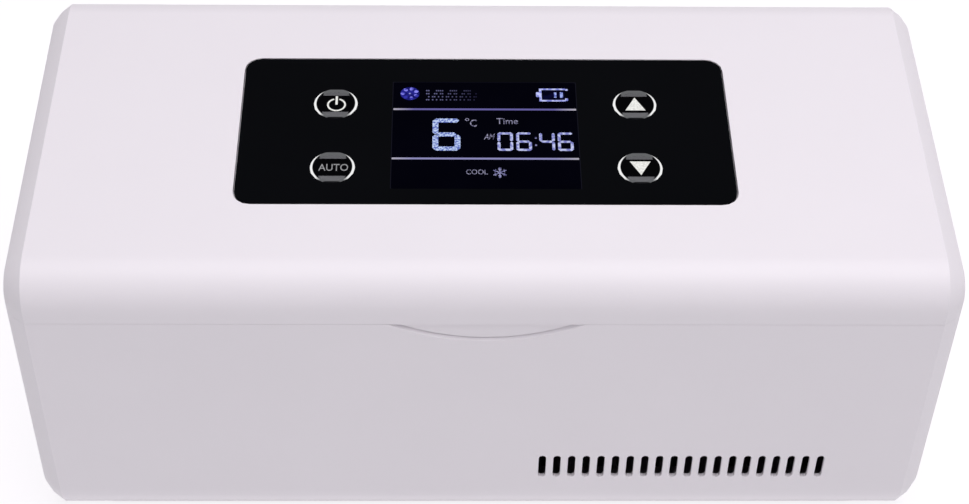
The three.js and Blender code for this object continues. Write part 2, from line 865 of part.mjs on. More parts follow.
function deckFrame() {
  const edge = innerForm.intersect(slice(level.deckUnder, level.deckTop));
  const shrink = 1 - gap.seat / inner.x;
  const shrinkY = 1 - gap.seat / inner.y;
  const floor = edge.scale([shrink, shrinkY, 1]);
  const rimInset = body.wall + deck.rimGap;
  const rimOuter = ringForm(rimInset, level.deckTop - deck.thickness / 2, level.rimTop);
  const rimInner = ringForm(rimInset + deck.rimWidth, level.deckTop, level.rimTop + gap.overrun);
  const opening = centredRect(2 * mouth.x, 2 * mouth.y, tank.cornerRadius);
  const collarX = 2 * (tankOuter.x + tank.flangeWidth + gap.seat);
  const collarY = 2 * (tankOuter.y + tank.flangeWidth + gap.seat);
  const corner = tank.cornerRadius + tank.wall + tank.flangeWidth + gap.seat;
  const wider = 2 * deck.collarWidth;
  const collar = centredRect(collarX + wider, collarY + wider, corner + deck.collarWidth);
  const collarHole = centredRect(collarX, collarY, corner);
  let made = join(
    cut(rimOuter, rimInner),
    floor,
    cut(
      plate(collar, level.deckUnder - deck.collarDrop, level.deckUnder + deck.thickness / 2),
      plate(collarHole, level.deckUnder - gap.overrun, level.deckUnder),
    ),
  );
  made = cut(made, plate(opening, level.deckUnder - gap.overrun, level.rimTop + gap.overrun));
  for (const x of stations) {
    const reach = hinge.knuckleLength / 2 + gap.run + hinge.lugLength + gap.run;
    const front = axis.y - hinge.axisInset - gap.run;
    made = cut(made, block(x - reach, x + reach, front, wide.y, level.deckUnder - gap.overrun, level.top));
  }
  for (const at of Object.values(deckPosts)) made = cut(made, screwRoom(at, level.deckBearing, -1));
  const pocketFloor = level.deckTop - magnet.thickness - gap.stack;
  const pocketRadius = magnet.radius + gap.seat;
  const cupTop = level.deckTop - deck.thickness / 2;
  for (const x of magnetPlaces()) {
    const cup = disc(pocketRadius + deck.rimWidth, pocketFloor - deck.rimWidth, cupTop, x, magnetY());
    made = cut(join(made, cup), disc(pocketRadius, pocketFloor, level.top, x, magnetY()));
  }
  return made;
}

// A slice of the case form drawn in by an inset, upright there because it lies under the top radius
function ringForm(inset, z0, z1) {
  const bevel = body.endBevel - inset * mitreShare;
  const x = half.x - inset;
  const y = half.y - inset;
  const outline = polygon([
    [bevel - x, -y],
    [x - bevel, -y],
    [x, bevel - y],
    [x, y - bevel],
    [x - bevel, y],
    [bevel - x, y],
    [-x, y - bevel],
    [-x, bevel - y],
  ]);
  return plate(outline, z0, z1);
}

function magnetPlaces() {
  return [magnet.endInset - half.x, half.x - magnet.endInset];
}

function magnetY() {
  return magnet.edgeInset - half.y;
}

// A rounded rectangle at one height, with as many points whatever its size
function cornerRing(x, y, radius, z) {
  const ring = [];
  const steps = 2 * facets.edge;
  for (const [quarter, [sideX, sideY]] of [[1, -1], [1, 1], [-1, 1], [-1, -1]].entries()) {
    for (let step = 0; step <= steps; step++) {
      const turn = ((quarter - 1 + step / steps) * Math.PI) / 2;
      const px = sideX * (x - radius) + radius * Math.cos(turn);
      const py = sideY * (y - radius) + radius * Math.sin(turn);
      ring.push(new THREE.Vector3(px, py, z));
    }
  }
  return ring;
}

// An upright-walled tray outline with a rounded lower edge
function trayForm(x, y, corner, floorRadius, z0, z1) {
  const rings = [];
  const steps = facets.edge;
  const ringAt = (inset, z) => cornerRing(x - inset, y - inset, corner - inset, z);
  for (let i = 0; i <= steps; i++) {
    const turn = (i / steps) * (Math.PI / 2);
    rings.push(ringAt(floorRadius * (1 - Math.sin(turn)), z0 + floorRadius * (1 - Math.cos(turn))));
  }
  rings.push(ringAt(0, z1));
  return loft(rings);
}

function coldTank() {
  const outerCorner = tank.cornerRadius + tank.wall;
  const outerFloor = tank.floorRadius + tank.wall;
  const { tankUnder, tankFloor, tankTop } = level;
  const outside = trayForm(tankOuter.x, tankOuter.y, outerCorner, outerFloor, tankUnder, tankTop);
  const open = tankTop + gap.overrun;
  const inside = trayForm(mouth.x, mouth.y, tank.cornerRadius, tank.floorRadius, tankFloor, open);
  const flangeX = tankOuter.x + tank.flangeWidth;
  const flangeY = tankOuter.y + tank.flangeWidth;
  const flange = centredRect(2 * flangeX, 2 * flangeY, outerCorner + tank.flangeWidth);
  return cut(join(outside, plate(flange, tankTop - tank.wall, tankTop)), inside);
}

function tankInsulation() {
  const x = inner.x - gap.seat;
  const y = inner.y - gap.seat;
  let made = block(-x, x, -y, y, level.foamUnder, level.foamTop);
  const corner = tank.cornerRadius + tank.wall + gap.seat;
  const floorRadius = tank.floorRadius + tank.wall + gap.seat;
  const room = trayForm(
    tankOuter.x + gap.seat,
    tankOuter.y + gap.seat,
    corner,
    floorRadius,
    level.tankUnder - gap.stack,
    level.foamTop + gap.overrun,
  );
  made = cut(made, room);
  const low = level.foamUnder - gap.overrun;
  const high = level.foamTop + gap.overrun;
  for (const [px, py] of Object.values(deckPosts)) {
    const inX = px - Math.sign(px) * (deck.postRadius + gap.seat);
    const inY = py - Math.sign(py) * (deck.postRadius + gap.seat);
    const outX = Math.sign(px) * wide.x;
    const outY = Math.sign(py) * wide.y;
    made = cut(made, block(inX, outX, inY, outY, low, high));
  }
  for (const px of stations) {
    const reach = hinge.knuckleLength / 2 + gap.run + hinge.lugLength + gap.run;
    const front = axis.y - hinge.axisInset - gap.run;
    const hingeLow = axis.z - hinge.axisInset - hinge.heelGap;
    made = cut(made, block(px - reach, px + reach, front, wide.y, hingeLow, level.top));
  }
  for (const px of magnetPlaces()) {
    const cupLow = level.deckTop - magnet.thickness - gap.stack - deck.rimWidth - gap.seat;
    made = cut(made, disc(magnet.radius + deck.rimWidth + 2 * gap.seat, cupLow, level.top, px, magnetY()));
  }
  const throughX = coldBlock.length / 2 + gap.seat;
  const throughY = coldBlock.width / 2 + gap.seat;
  const left = cooler.x - throughX - probe.apart - probe.length - gap.seat;
  const front = cooler.y - throughY;
  const rear = cooler.y + throughY;
  return cut(made, block(left, cooler.x + throughX, front, rear, low, level.tankFloor));
}

function coldBlockPiece() {
  const outline = centredRect(coldBlock.length, coldBlock.width, coldBlock.corner, cooler.x, cooler.y);
  return plate(outline, level.blockUnder, level.blockTop, facets.coarse);
}

function peltierModule() {
  const side = peltier.sideLength / 2;
  const core = side * peltier.pelletShare;
  const square = (r, z0, z1) => block(cooler.x - r, cooler.x + r, cooler.y - r, cooler.y + r, z0, z1);
  return join(
    square(side, level.peltierUnder, level.peltierUnder + peltier.plateThickness),
    square(core, level.peltierUnder, level.peltierTop),
    square(side, level.peltierTop - peltier.plateThickness, level.peltierTop),
  );
}

function heatSink() {
  const left = cooler.x - sink.length / 2;
  const right = cooler.x + sink.length / 2;
  const pitch = (sink.length - sink.finRootWidth) / (sink.finCount - 1);
  const outline = [[left, level.sinkTop], [left, level.sinkPlateUnder]];
  for (let i = 0; i < sink.finCount; i++) {
    const x = left + sink.finRootWidth / 2 + i * pitch;
    outline.push([x - sink.finRootWidth / 2, level.sinkPlateUnder]);
    outline.push([x - sink.finTipWidth / 2, level.finUnder]);
    outline.push([x + sink.finTipWidth / 2, level.finUnder]);
    outline.push([x + sink.finRootWidth / 2, level.sinkPlateUnder]);
  }
  outline.push([right, level.sinkTop]);
  const distinct = outline.filter(([x, z], i) => {
    const [nextX, nextZ] = outline[(i + 1) % outline.length];
    return Math.hypot(nextX - x, nextZ - z) > gap.weld;
  });
  const reach = inner.y - sink.sideGap;
  return slab(polygon(distinct), cooler.y - reach, cooler.y + reach);
}

// Fan

function fanFrame() {
  const outline = centredRect(fan.sideLength, fan.sideLength, fan.cornerRadius, cooler.x, cooler.y);
  let made = plate(outline, level.fanUnder, level.fanTop, facets.coarse);
  const duct = circle(fan.ductRadius, cooler.x, cooler.y);
  made = cut(made, through(duct, level.fanUnder, level.fanTop, facets.duct / 2));
  const strutUnder = level.fanTop - fan.strutThickness;
  const hub = disc(fan.hubRadius, strutUnder, level.fanTop, cooler.x, cooler.y);
  const struts = [];
  for (let i = 0; i < fan.strutCount; i++) {
    const side = fan.strutWidth / 2;
    const strut = block(fan.spindleRadius, fan.ductRadius + side, -side, side, strutUnder, level.fanTop);
    const turn = (180 + i * 360) / fan.strutCount;
    struts.push(strut.rotate([0, 0, turn]).translate([cooler.x, cooler.y, 0]));
  }
  const rotorRoof = rotorLevels();
  const stator = disc(fan.statorRadius, rotorRoof.cavity + gap.run, strutUnder, cooler.x, cooler.y);
  const centre = [cooler.x, cooler.y];
  const sleeveOuter = fan.spindleRadius + gap.stack + fan.sleeveWall + gap.run;
  const sleeveRoom = post(sleeveOuter, rotorRoof.cavity, strutUnder, centre);
  const spindle = post(fan.spindleRadius, rotorRoof.cavity + gap.seat, level.fanTop, centre);
  made = join(made, hub, ...struts, cut(stator, sleeveRoom), spindle);
  const holeEnd = level.fanTop + gap.overrun;
  for (const at of fanHoles()) made = cut(made, post(fan.holeRadius, level.underside, holeEnd, at));
  return made;
}

function rotorLevels() {
  const under = level.fanUnder + fan.rotorInset;
  const top = level.fanTop - fan.strutThickness - gap.run;
  return { under, top, cavity: under + fan.hubWall };
}

// One blade: cambered sections on cylinders about the axis, swept and flattening towards the tip
function fanBlade(angle) {
  const { under, top } = rotorLevels();
  const middle = (under + top) / 2;
  const rootRadius = fan.hubRadius - fan.hubWall / 2;
  const tipRadius = fan.ductRadius - fan.tipGap;
  const rings = [];
  const stepsOut = facets.blade;
  const stepsAlong = facets.blade;
  for (let i = 0; i <= stepsOut; i++) {
    const t = i / stepsOut;
    const radius = rootRadius + t * (tipRadius - rootRadius);
    const pitch = THREE.MathUtils.degToRad(fan.rootAngle + t * (fan.tipAngle - fan.rootAngle));
    const chord = fan.rootChord + t * (fan.tipChord - fan.rootChord);
    const lean = angle + t * t * fan.sweepShare;
    const at = (along, side) => {
      const s = along * chord - chord / 2;
      const fromMiddle = Math.abs(2 * along - 1);
      const bulge = fan.camberHeight * (1 - fromMiddle ** 2);
      const thick = (side * fan.bladeThickness * (1 - fan.taperShare * fromMiddle)) / 2;
      const theta = lean + (s * Math.cos(pitch)) / radius;
      const z = middle + s * Math.sin(pitch) + bulge + thick - fan.camberHeight / 2;
      return new THREE.Vector3(
        cooler.x + radius * Math.cos(theta),
        cooler.y + radius * Math.sin(theta),
        THREE.MathUtils.clamp(z, under, top),
      );
    };
    const lower = [];
    const upper = [];
    for (let j = 0; j <= stepsAlong; j++) {
      lower.push(at(j / stepsAlong, -1));
      upper.push(at(1 - j / stepsAlong, 1));
    }
    rings.push([...lower, ...upper]);
  }
  return loft(rings);
}

function fanRotor() {
  const { under, top, cavity } = rotorLevels();
  const bore = fan.spindleRadius + gap.stack;
  const sleeve = bore + fan.sleeveWall;
  const hub = turned([
    [0, under],
    [fan.hubRadius - fan.hubEdgeRadius, under],
    [fan.hubRadius, under + fan.hubEdgeRadius],
    [fan.hubRadius, top],
    [fan.hubRadius - fan.hubWall, top],
    [fan.hubRadius - fan.hubWall, cavity],
    [sleeve, cavity],
    [sleeve, top - gap.run],
    [bore, top - gap.run],
    [bore, cavity],
    [0, cavity],
  ], cooler.x, cooler.y, facets.ring);
  const blades = [];
  for (let i = 0; i < fan.bladeCount; i++) blades.push(fanBlade((i * 2 * Math.PI) / fan.bladeCount));
  const hollow = disc(fan.hubRadius - fan.hubWall / 2, under, top, cooler.x, cooler.y, facets.ring);
  return join(hub, ...blades.map((blade) => cut(blade, hollow)));
}

// Electronics in the base

function mainBoard() {
  const { left, right, front, rear } = boardEdge;
  const top = level.boardTop;
  const { margin, chipSide, plugLength, plugWidth } = boardParts;
  const plugRight = right - boardParts.edge;
  const plugFront = front + boardParts.plugInset;
  const plugTop = top + boardParts.plugHeight;
  const chipX = (left + right) / 2;
  const chipY = (front + rear) / 2;
  const coilTop = top + boardParts.coilHeight;
  const capTop = top + boardParts.capHeight;
  return join(
    block(left, right, front, rear, level.boardUnder, top),
    block(plugRight - plugLength, plugRight, plugFront, plugFront + plugWidth, top, plugTop),
    post(boardParts.coilRadius, top, coilTop, [left + 2 * margin, front + 2 * margin]),
    post(boardParts.capRadius, top, capTop, [left + margin, rear - margin]),
    post(boardParts.capRadius, top, capTop, [left + 2 * margin, rear - margin]),
    block(chipX, chipX + chipSide, chipY, chipY + chipSide, top, top + boardParts.chipHeight),
  );
}

function dcSocket() {
  const x = socketX();
  const z = socketZ();
  const rear = inner.y - gap.seat;
  const side = socket.width / 2;
  const reach = socket.height / 2;
  const housing = block(x - side, x + side, rear - socket.length, rear, z - reach, z + reach);
  const face = half.y - socket.edgeInset;
  const nose = rod(socket.noseRadius, rear - socket.length / 2, face, [x, 0, z], "y");
  const bore = rod(socket.boreRadius, face - socket.boreDepth, face + gap.overrun, [x, 0, z], "y");
  const pinStart = face - socket.boreDepth - socket.edgeInset;
  const pin = rod(socket.pinRadius, pinStart, face - socket.edgeInset, [x, 0, z], "y");
  return join(cut(join(housing, nose), bore), pin);
}

function cellCentres() {
  const z = level.coverTop + gap.stack + battery.bedThickness + battery.radius;
  const y = battery.radius + battery.sideWall / 2 + gap.seat / 2;
  return { front: [-y, z], rear: [y, z] };
}

function holderLength() {
  return battery.length + battery.capHeight + 2 * gap.seat + 2 * battery.endWall;
}

function holderLeft() {
  const free = cooler.x - sink.length / 2 + inner.x - holderLength();
  return free * battery.leftShare - inner.x;
}

function batteryHolder() {
  const left = holderLeft();
  const right = left + holderLength();
  const [rearY, z] = cellCentres().rear;
  const sideY = rearY + battery.radius + gap.seat + battery.sideWall;
  const low = level.coverTop + gap.stack;
  const high = low + 2 * battery.radius * battery.wallShare;
  let made = block(left, right, -sideY, sideY, low, high);
  const room = battery.radius + gap.seat;
  const start = left + battery.endWall;
  const end = right - battery.endWall;
  for (const [y] of Object.values(cellCentres())) {
    const round = rod(room, start, end, [0, y, z], "x", facets.round);
    made = cut(made, round, block(start, end, y - room, y + room, z, high + gap.overrun));
  }
  return made;
}

function batteryCell([y, z]) {
  const start = holderLeft() + battery.endWall + gap.seat;
  const end = start + battery.length;
  const profile = [
    [0, start],
    [battery.radius - battery.edgeRadius, start],
    [battery.radius, start + battery.edgeRadius],
    [battery.radius, end - battery.edgeRadius],
    [battery.radius - battery.edgeRadius, end],
    [battery.capRadius, end],
    [battery.capRadius, end + battery.capHeight],
    [0, end + battery.capHeight],
  ];
  const points = profile.map(([r, x]) => new THREE.Vector2(r, x));
  const geometry = new THREE.LatheGeometry(points, facets.round).rotateZ(-Math.PI / 2);
  return solid(geometry.translate(0, y, z));
}

function temperatureSensor() {
  const middle = cooler.x - coldBlock.length / 2 - probe.apart - probe.length / 2;
  const outline = centredRect(probe.length, probe.width, probe.edge, middle, cooler.y);
  return plate(outline, level.blockTop - probe.thickness, level.blockTop, facets.coarse);
}

// Insulated leads of the cooling module, one point after another along each lead, as shares of the way
// from the board's plug to the module, from the middle to the sink's front (1) and on to the wall (2),
// and up to the sink's top
const leadShares = {
  red: [
    [1, 0.4, 1.027], [0.926, 0.5, 1.027], [0.902, 0.75, 1.021], [0.902, 1.189, 1.018],
    [0.895, 1.566, 0.973], [0.866, 1.566, 0.831], [0.782, 1.566, 0.748], [0.615, 1.528, 0.724],
    [0.423, 1.283, 0.736], [0.256, 0.95, 0.783], [0.17, 0.8, 0.878], [0.112, 0.61, 0.932],
    [0, 0.585, 0.938],
  ],
  black: [
    [1, 0.25, 1.027], [0.854, 0.35, 1.027], [0.821, 0.75, 1.021], [0.821, 1.189, 1.018],
    [0.811, 1.566, 0.973], [0.758, 1.566, 0.878], [0.639, 1.528, 0.807], [0.423, 1.189, 0.807],
    [0.304, 0.91, 0.849], [0.237, 0.7, 0.902], [0.16, 0.525, 0.938], [0, 0.49, 0.938],
  ],
};

function lead(route) {
  const plug = boardEdge.right - boardParts.edge + gap.seat;
  const module = cooler.x - peltier.sideLength / 2 - leads.moduleGap;
  const sinkFront = inner.y - sink.sideGap;
  const points = route.map(([along, forward, up]) => {
    const past = Math.max(forward - 1, 0);
    const y = -Math.min(forward, 1) * sinkFront - past * sink.sideGap;
    return new THREE.Vector3(plug + along * (module - plug), y, up * level.sinkTop);
  });
  const curve = new THREE.CatmullRomCurve3(points, false, "centripetal");
  const options = {
    steps: leads.steps,
    extrudePath: curve,
    bevelEnabled: false,
    curveSegments: leads.sides / 2,
  };
  return solid(new THREE.ExtrudeGeometry(circle(leads.radius), options));
}

// Lid

function lidShell() {
  const above = slice(level.seam + gap.seam / 2, level.top + gap.overrun);
  const tab = tabDisc(lid.tabRadius, lid.tabSet - half.y, body.wall - half.y);
  const upper = cut(outerForm.intersect(above), innerForm);
  let shell = join(upper, tab);

  // Knuckles that reach down to the hinge axis, flush with the rear face
  for (const x of stations) {
    const left = x - hinge.knuckleLength / 2;
    const right = x + hinge.knuckleLength / 2;
    const round = rod(hinge.axisInset, left, right, [0, axis.y, axis.z], "x", facets.round);
    const front = axis.y - hinge.axisInset;
    const neck = block(left, right, front, half.y, axis.z, level.seam + gap.overrun);
    const bore = rod(hinge.boreRadius, left - gap.overrun, right + gap.overrun, [0, axis.y, axis.z], "x");
    shell = cut(join(shell, neck.intersect(outerForm), round), bore);
  }

  // Posts for the liner, each tied to its end wall by a rib
  const root = level.lidInside + body.wall / 2;
  const ribUnder = level.lidInside - lid.ribDrop;
  for (const [x, y] of Object.values(lidPosts)) {
    const wallX = Math.sign(x) * (inner.x + body.wall / 2);
    const upright = post(lid.postRadius, level.linerTop + gap.stack, root, [x, y]);
    const rib = block(x, wallX, y - lid.ribWidth / 2, y + lid.ribWidth / 2, ribUnder, root);
    const posted = join(shell, upright, rib.intersect(outerForm));
    shell = cut(posted, pilotHole([x, y], level.linerBearing, 1));
  }

  // Short posts for the display board
  for (const at of lidBoardPosts()) {
    shell = join(shell, post(lidBoard.postRadius, level.lidBoardTop + gap.stack, root, at));
  }

  // Recess for the panel, with openings for the display and the keys
  const recessLength = panel.length + 2 * gap.seat;
  const recessWidth = panel.width + 2 * gap.seat;
  const recessCorner = panel.corner + gap.seat;
  const recess = centredRect(recessLength, recessWidth, recessCorner, panel.centreX, panel.centreY);
  const opening = centredRect(
    display.glassLength + 2 * gap.seat,
    display.glassWidth + 2 * gap.seat,
    display.glassCorner + gap.seat,
    display.centreX,
    display.centreY,
  );
  shell = cut(shell, plate(recess, level.recess, level.top + gap.overrun));
  shell = cut(shell, plate(opening, level.lidInside - gap.overrun, level.top));
  for (const [x, y] of Object.values(keyPlaces)) {
    const radius = key.ringRadius - key.shoulderWidth;
    shell = cut(shell, disc(radius, level.lidInside - gap.overrun, level.top, x, y));
  }
  return shell;
}

function lidBoardPosts() {
  const x = lidBoard.length / 2 - lidBoard.postInset;
  const y = lidBoard.width / 2 - lidBoard.postInset;
  return Object.values(corners(x, y)).map(([px, py]) => [px + display.centreX, py + display.centreY]);
}

function panelWindow() {
  const { length, width, corner, centreX, centreY } = panel;
  const outline = centredRect(length, width, corner, centreX, centreY);
  const holes = Object.values(keyPlaces).map(([x, y]) => {
    return disc(key.ringRadius + gap.stack, level.recess, level.top + gap.overrun, x, y, facets.ring);
  });
  return cut(plate(outline, level.panelUnder, level.panelTop), ...holes);
}

function keyRing([x, y]) {
  const outer = key.ringRadius;
  const inside = outer - key.ringWidth;
  const low = level.recess;
  const top = level.top + key.proudHeight;
  const soft = key.crownDrop;
  return turned([
    [inside, low],
    [outer, low],
    [outer, top - soft],
    [outer - soft, top],
    [inside, top],
    [inside, low],
  ], x, y, facets.ring);
}

// A round cap with a sloped flat at its front and rear, and a flange that keeps it in the lid
function keyCap([x, y]) {
  const radius = key.ringRadius - key.ringWidth - key.slipGap;
  const flange = radius + key.flangeWidth;
  const cap = turned([
    [0, level.stemUnder],
    [key.stemRadius, level.stemUnder],
    [key.stemRadius, level.flangeUnder],
    [flange, level.flangeUnder],
    [flange, level.flangeTop],
    [radius, level.flangeTop],
    [radius, level.keyTop],
    [0, level.keyTop],
  ], x, y, facets.ring);
  const wedge = bar(
    polygon([
      [radius - key.facetLength, level.keyTop],
      [radius, level.keyTop - key.facetDrop],
      [radius + gap.overrun, level.keyTop - key.facetDrop],
      [radius + gap.overrun, level.keyTop + gap.overrun],
      [radius - key.facetLength, level.keyTop + gap.overrun],
    ]),
    -radius - gap.overrun,
    radius + gap.overrun,
  );
  return cut(cap, wedge.translate([x, y, 0]), wedge.mirror([0, 1, 0]).translate([x, y, 0]));
}

function lcdModule() {
  const low = level.lidBoardTop + gap.stack;
  const { moduleLength, moduleWidth, glassCorner, centreX, centreY } = display;
  const tray = centredRect(moduleLength, moduleWidth, glassCorner, centreX, centreY);
  const glass = centredRect(display.glassLength, display.glassWidth, glassCorner, centreX, centreY);
  return join(
    plate(tray, low, low + display.moduleHeight, facets.coarse),
    plate(glass, low, level.panelUnder - gap.stack, facets.coarse),
  );
}

function displayBoard() {
  const { length, width, corner } = lidBoard;
  const outline = centredRect(length, width, corner, display.centreX, display.centreY);
  let made = plate(outline, level.lidBoardUnder, level.lidBoardTop, facets.coarse);
  const buried = level.lidBoardTop - lidBoard.thickness / 2;
  for (const [x, y] of Object.values(keyPlaces)) {
    const square = centredRect(tact.sideLength, tact.sideLength, tact.cornerRadius, x, y);
    const housing = plate(square, buried, level.lidBoardTop + tact.height, facets.coarse);
    made = join(made, housing, post(tact.plungerRadius, buried, level.tactTop, [x, y]));
  }
  return made;
}

const linerEdge = {
  x: inner.x - deck.rimGap - deck.rimWidth - liner.edgeGap,
  front: -(inner.y - deck.rimGap - deck.rimWidth - liner.edgeGap),
  rear: axis.y - liner.rearReach,
};
const pan = { x: mouth.x - liner.panGap, y: mouth.y - liner.panGap };

function lidLiner() {
  const outline = roundedRect(-linerEdge.x, linerEdge.x, linerEdge.front, linerEdge.rear, liner.corner);
  const outside = centredRect(2 * pan.x, 2 * pan.y, tank.cornerRadius);
  const insideX = 2 * (pan.x - liner.panWall);
  const insideY = 2 * (pan.y - liner.panWall);
  const inside = centredRect(insideX, insideY, tank.cornerRadius - liner.panWall);
  let made = join(
    plate(outline, level.linerUnder, level.linerTop),
    plate(outside, level.panUnder, level.linerTop),
  );
  made = cut(made, plate(inside, level.panTop, level.linerTop + gap.overrun));
  const [outer, hole] = gasketOutlines(gap.stack);
  const grooveTop = level.linerUnder + gasket.grooveDepth;
  const groove = plate(outer, level.linerUnder - gap.overrun, grooveTop);
  made = cut(made, cut(groove, through(hole, level.panUnder - gap.overrun, grooveTop)));
  for (const at of Object.values(lidPosts)) made = cut(made, screwRoom(at, level.linerBearing, 1));
  for (const x of magnetPlaces()) {
    const floor = level.linerUnder + magnet.skinThickness;
    made = cut(made, disc(magnet.radius + gap.seat, floor, level.top, x, magnetY()));
  }
  return made;
}

// Outer and inner outline of the seal round the tank's mouth, widened by a clearance
function gasketOutlines(clearance) {
  const reach = gasket.inset;
  const grow = gasket.width + clearance;
  const outsideX = 2 * (mouth.x + reach + grow);
  const outsideY = 2 * (mouth.y + reach + grow);
  const outer = centredRect(outsideX, outsideY, gasket.cornerRadius + grow);
  const insideX = 2 * (mouth.x + reach - clearance);
  const insideY = 2 * (mouth.y + reach - clearance);
  const hole = centredRect(insideX, insideY, gasket.cornerRadius - clearance);
  return [outer, hole];
}

function lidGasket() {
  const [outer, hole] = gasketOutlines(0);
  const low = level.deckTop + gap.stack;
  const high = level.linerUnder + gasket.grooveDepth - gap.stack;
  return cut(plate(outer, low, high), through(hole, low, high));
}

function lidInsulation() {
  const low = level.panTop + gap.stack;
  const high = level.lidBoardUnder - gap.stack;
  const x = pan.x - liner.panWall - lidFoam.gap;
  const y = pan.y - liner.panWall - lidFoam.gap;
  const made = plate(centredRect(2 * x, 2 * y, lidFoam.corner), low, high, facets.coarse);
  const room = lid.postRadius + gap.seat;
  return cut(made, ...Object.values(lidPosts).map((at) => post(room, low, level.lidInside, at)));
}

function magnetDisc(x, low) {
  return post(magnet.radius, low, low + magnet.thickness, [x, magnetY()]);
}

// Assembly

const object = new THREE.Group();
const finishOf = {};
for (const [name, values] of Object.entries(finishes)) {
  finishOf[name] = new THREE.MeshStandardMaterial(values);
}

function group(name) {
  const made = new THREE.Group();
  made.name = name;
  object.add(made);
  return made;
}

function add(parent, name, form, finish) {
  const { numProp, numVert, vertProperties, triVerts } = form.getMesh();
  const positions = new Float32Array(numVert * 3);
  for (let i = 0; i < numVert; i++) {
    positions.set(vertProperties.subarray(i * numProp, i * numProp + 3), i * 3);
  }
  const geometry = new THREE.BufferGeometry();
  geometry.setAttribute("position", new THREE.BufferAttribute(positions, 3));
  geometry.setIndex(new THREE.BufferAttribute(triVerts, 1));
  geometry.computeVertexNormals();
  const mesh = new THREE.Mesh(geometry, finishOf[finish]);
  mesh.name = name;
  parent.add(mesh);
}

const baseGroup = group("base");
add(baseGroup, "base_shell", baseShell(), "whiteShell");
add(baseGroup, "bottom_cover", bottomCover(), "whiteShell");
add(baseGroup, "deck_frame", deckFrame(), "whiteInner");
add(baseGroup, "cold_tank", coldTank(), "tankMetal");
add(baseGroup, "tank_insulation", tankInsulation(), "foamGrey");
add(baseGroup, "cold_block", coldBlockPiece(), "tankMetal");
add(baseGroup, "peltier_module", peltierModule(), "ceramic");
add(baseGroup, "heat_sink", heatSink(), "sinkMetal");
add(baseGroup, "temperature_sensor", temperatureSensor(), "steel");
add(baseGroup, "fan_frame", fanFrame(), "blackPlastic");
add(baseGroup, "main_board", mainBoard(), "circuit");
add(baseGroup, "dc_socket", dcSocket(), "blackPlastic");
add(baseGroup, "battery_holder", batteryHolder(), "blackPlastic");
for (const [place, centre] of Object.entries(cellCentres())) {
  add(baseGroup, "battery_cell_" + place, batteryCell(centre), "cellWrap");
}
add(baseGroup, "peltier_lead_red", lead(leadShares.red), "leadRed");
add(baseGroup, "peltier_lead_black", lead(leadShares.black), "leadBlack");
for (const [place, at] of Object.entries(footPlaces)) {
  add(baseGroup, "foot_" + place, footPad(at), "rubberFoot");
}
for (const [place, at] of Object.entries(coverScrews)) {
  add(baseGroup, "cover_screw_" + place, screwAt(at, level.coverBearing, 1), "steel");
}
for (const [place, at] of Object.entries(deckPosts)) {
  add(baseGroup, "deck_screw_" + place, screwAt(at, level.deckBearing, -1), "steel");
}
stations.forEach((x, i) => {
  const reach = hinge.knuckleLength / 2 + gap.run + hinge.lugLength;
  const pin = rod(hinge.pinRadius, x - reach, x + reach, [0, axis.y, axis.z], "x");
  add(baseGroup, "hinge_pin_" + (i ? "right" : "left"), pin, "steel");
});
magnetPlaces().forEach((x, i) => {
  const low = level.deckTop - magnet.thickness;
  add(baseGroup, "deck_magnet_" + (i ? "right" : "left"), magnetDisc(x, low), "magnetPlate");
});

const lidGroup = group("lid");
add(lidGroup, "lid_shell", lidShell(), "whiteShell");
add(lidGroup, "panel_window", panelWindow(), "blackGloss");
add(lidGroup, "lcd_module", lcdModule(), "displayGlass");
add(lidGroup, "display_board", displayBoard(), "circuit");
for (const [place, at] of Object.entries(keyPlaces)) {
  add(lidGroup, "key_ring_" + place, keyRing(at), "lightRing");
}
add(lidGroup, "lid_insulation", lidInsulation(), "foamGrey");
add(lidGroup, "lid_liner", lidLiner(), "whiteInner");
add(lidGroup, "lid_gasket", lidGasket(), "silicone");
for (const [place, at] of Object.entries(lidPosts)) {
  add(lidGroup, "liner_screw_" + place, screwAt(at, level.linerBearing, 1), "steel");
}
magnetPlaces().forEach((x, i) => {
  const low = level.linerUnder + magnet.skinThickness + gap.stack;
  add(lidGroup, "lid_magnet_" + (i ? "right" : "left"), magnetDisc(x, low), "magnetPlate");
});

for (const [place, at] of Object.entries(keyPlaces)) {
  add(group("key_" + place), "key_cap_" + place, keyCap(at), "keyBlack");
}

add(group("fan"), "fan_rotor", fanRotor(), "blackPlastic");

export default object;
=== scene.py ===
import math

import bpy
from mathutils import Matrix, Vector


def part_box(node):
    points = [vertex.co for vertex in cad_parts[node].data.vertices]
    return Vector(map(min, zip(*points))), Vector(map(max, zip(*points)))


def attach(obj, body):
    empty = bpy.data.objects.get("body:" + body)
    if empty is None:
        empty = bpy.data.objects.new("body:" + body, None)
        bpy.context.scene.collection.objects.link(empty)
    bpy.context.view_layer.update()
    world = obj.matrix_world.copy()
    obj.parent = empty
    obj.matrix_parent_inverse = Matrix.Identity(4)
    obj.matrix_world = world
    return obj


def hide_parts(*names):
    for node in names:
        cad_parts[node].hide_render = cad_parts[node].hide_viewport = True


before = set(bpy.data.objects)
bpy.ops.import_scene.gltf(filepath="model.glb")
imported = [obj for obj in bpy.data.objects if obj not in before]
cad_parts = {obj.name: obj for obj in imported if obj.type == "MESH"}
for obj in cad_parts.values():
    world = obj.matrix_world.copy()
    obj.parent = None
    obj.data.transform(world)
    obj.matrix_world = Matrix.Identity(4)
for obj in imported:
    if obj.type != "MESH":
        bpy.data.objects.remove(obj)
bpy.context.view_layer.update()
MM = 0.001

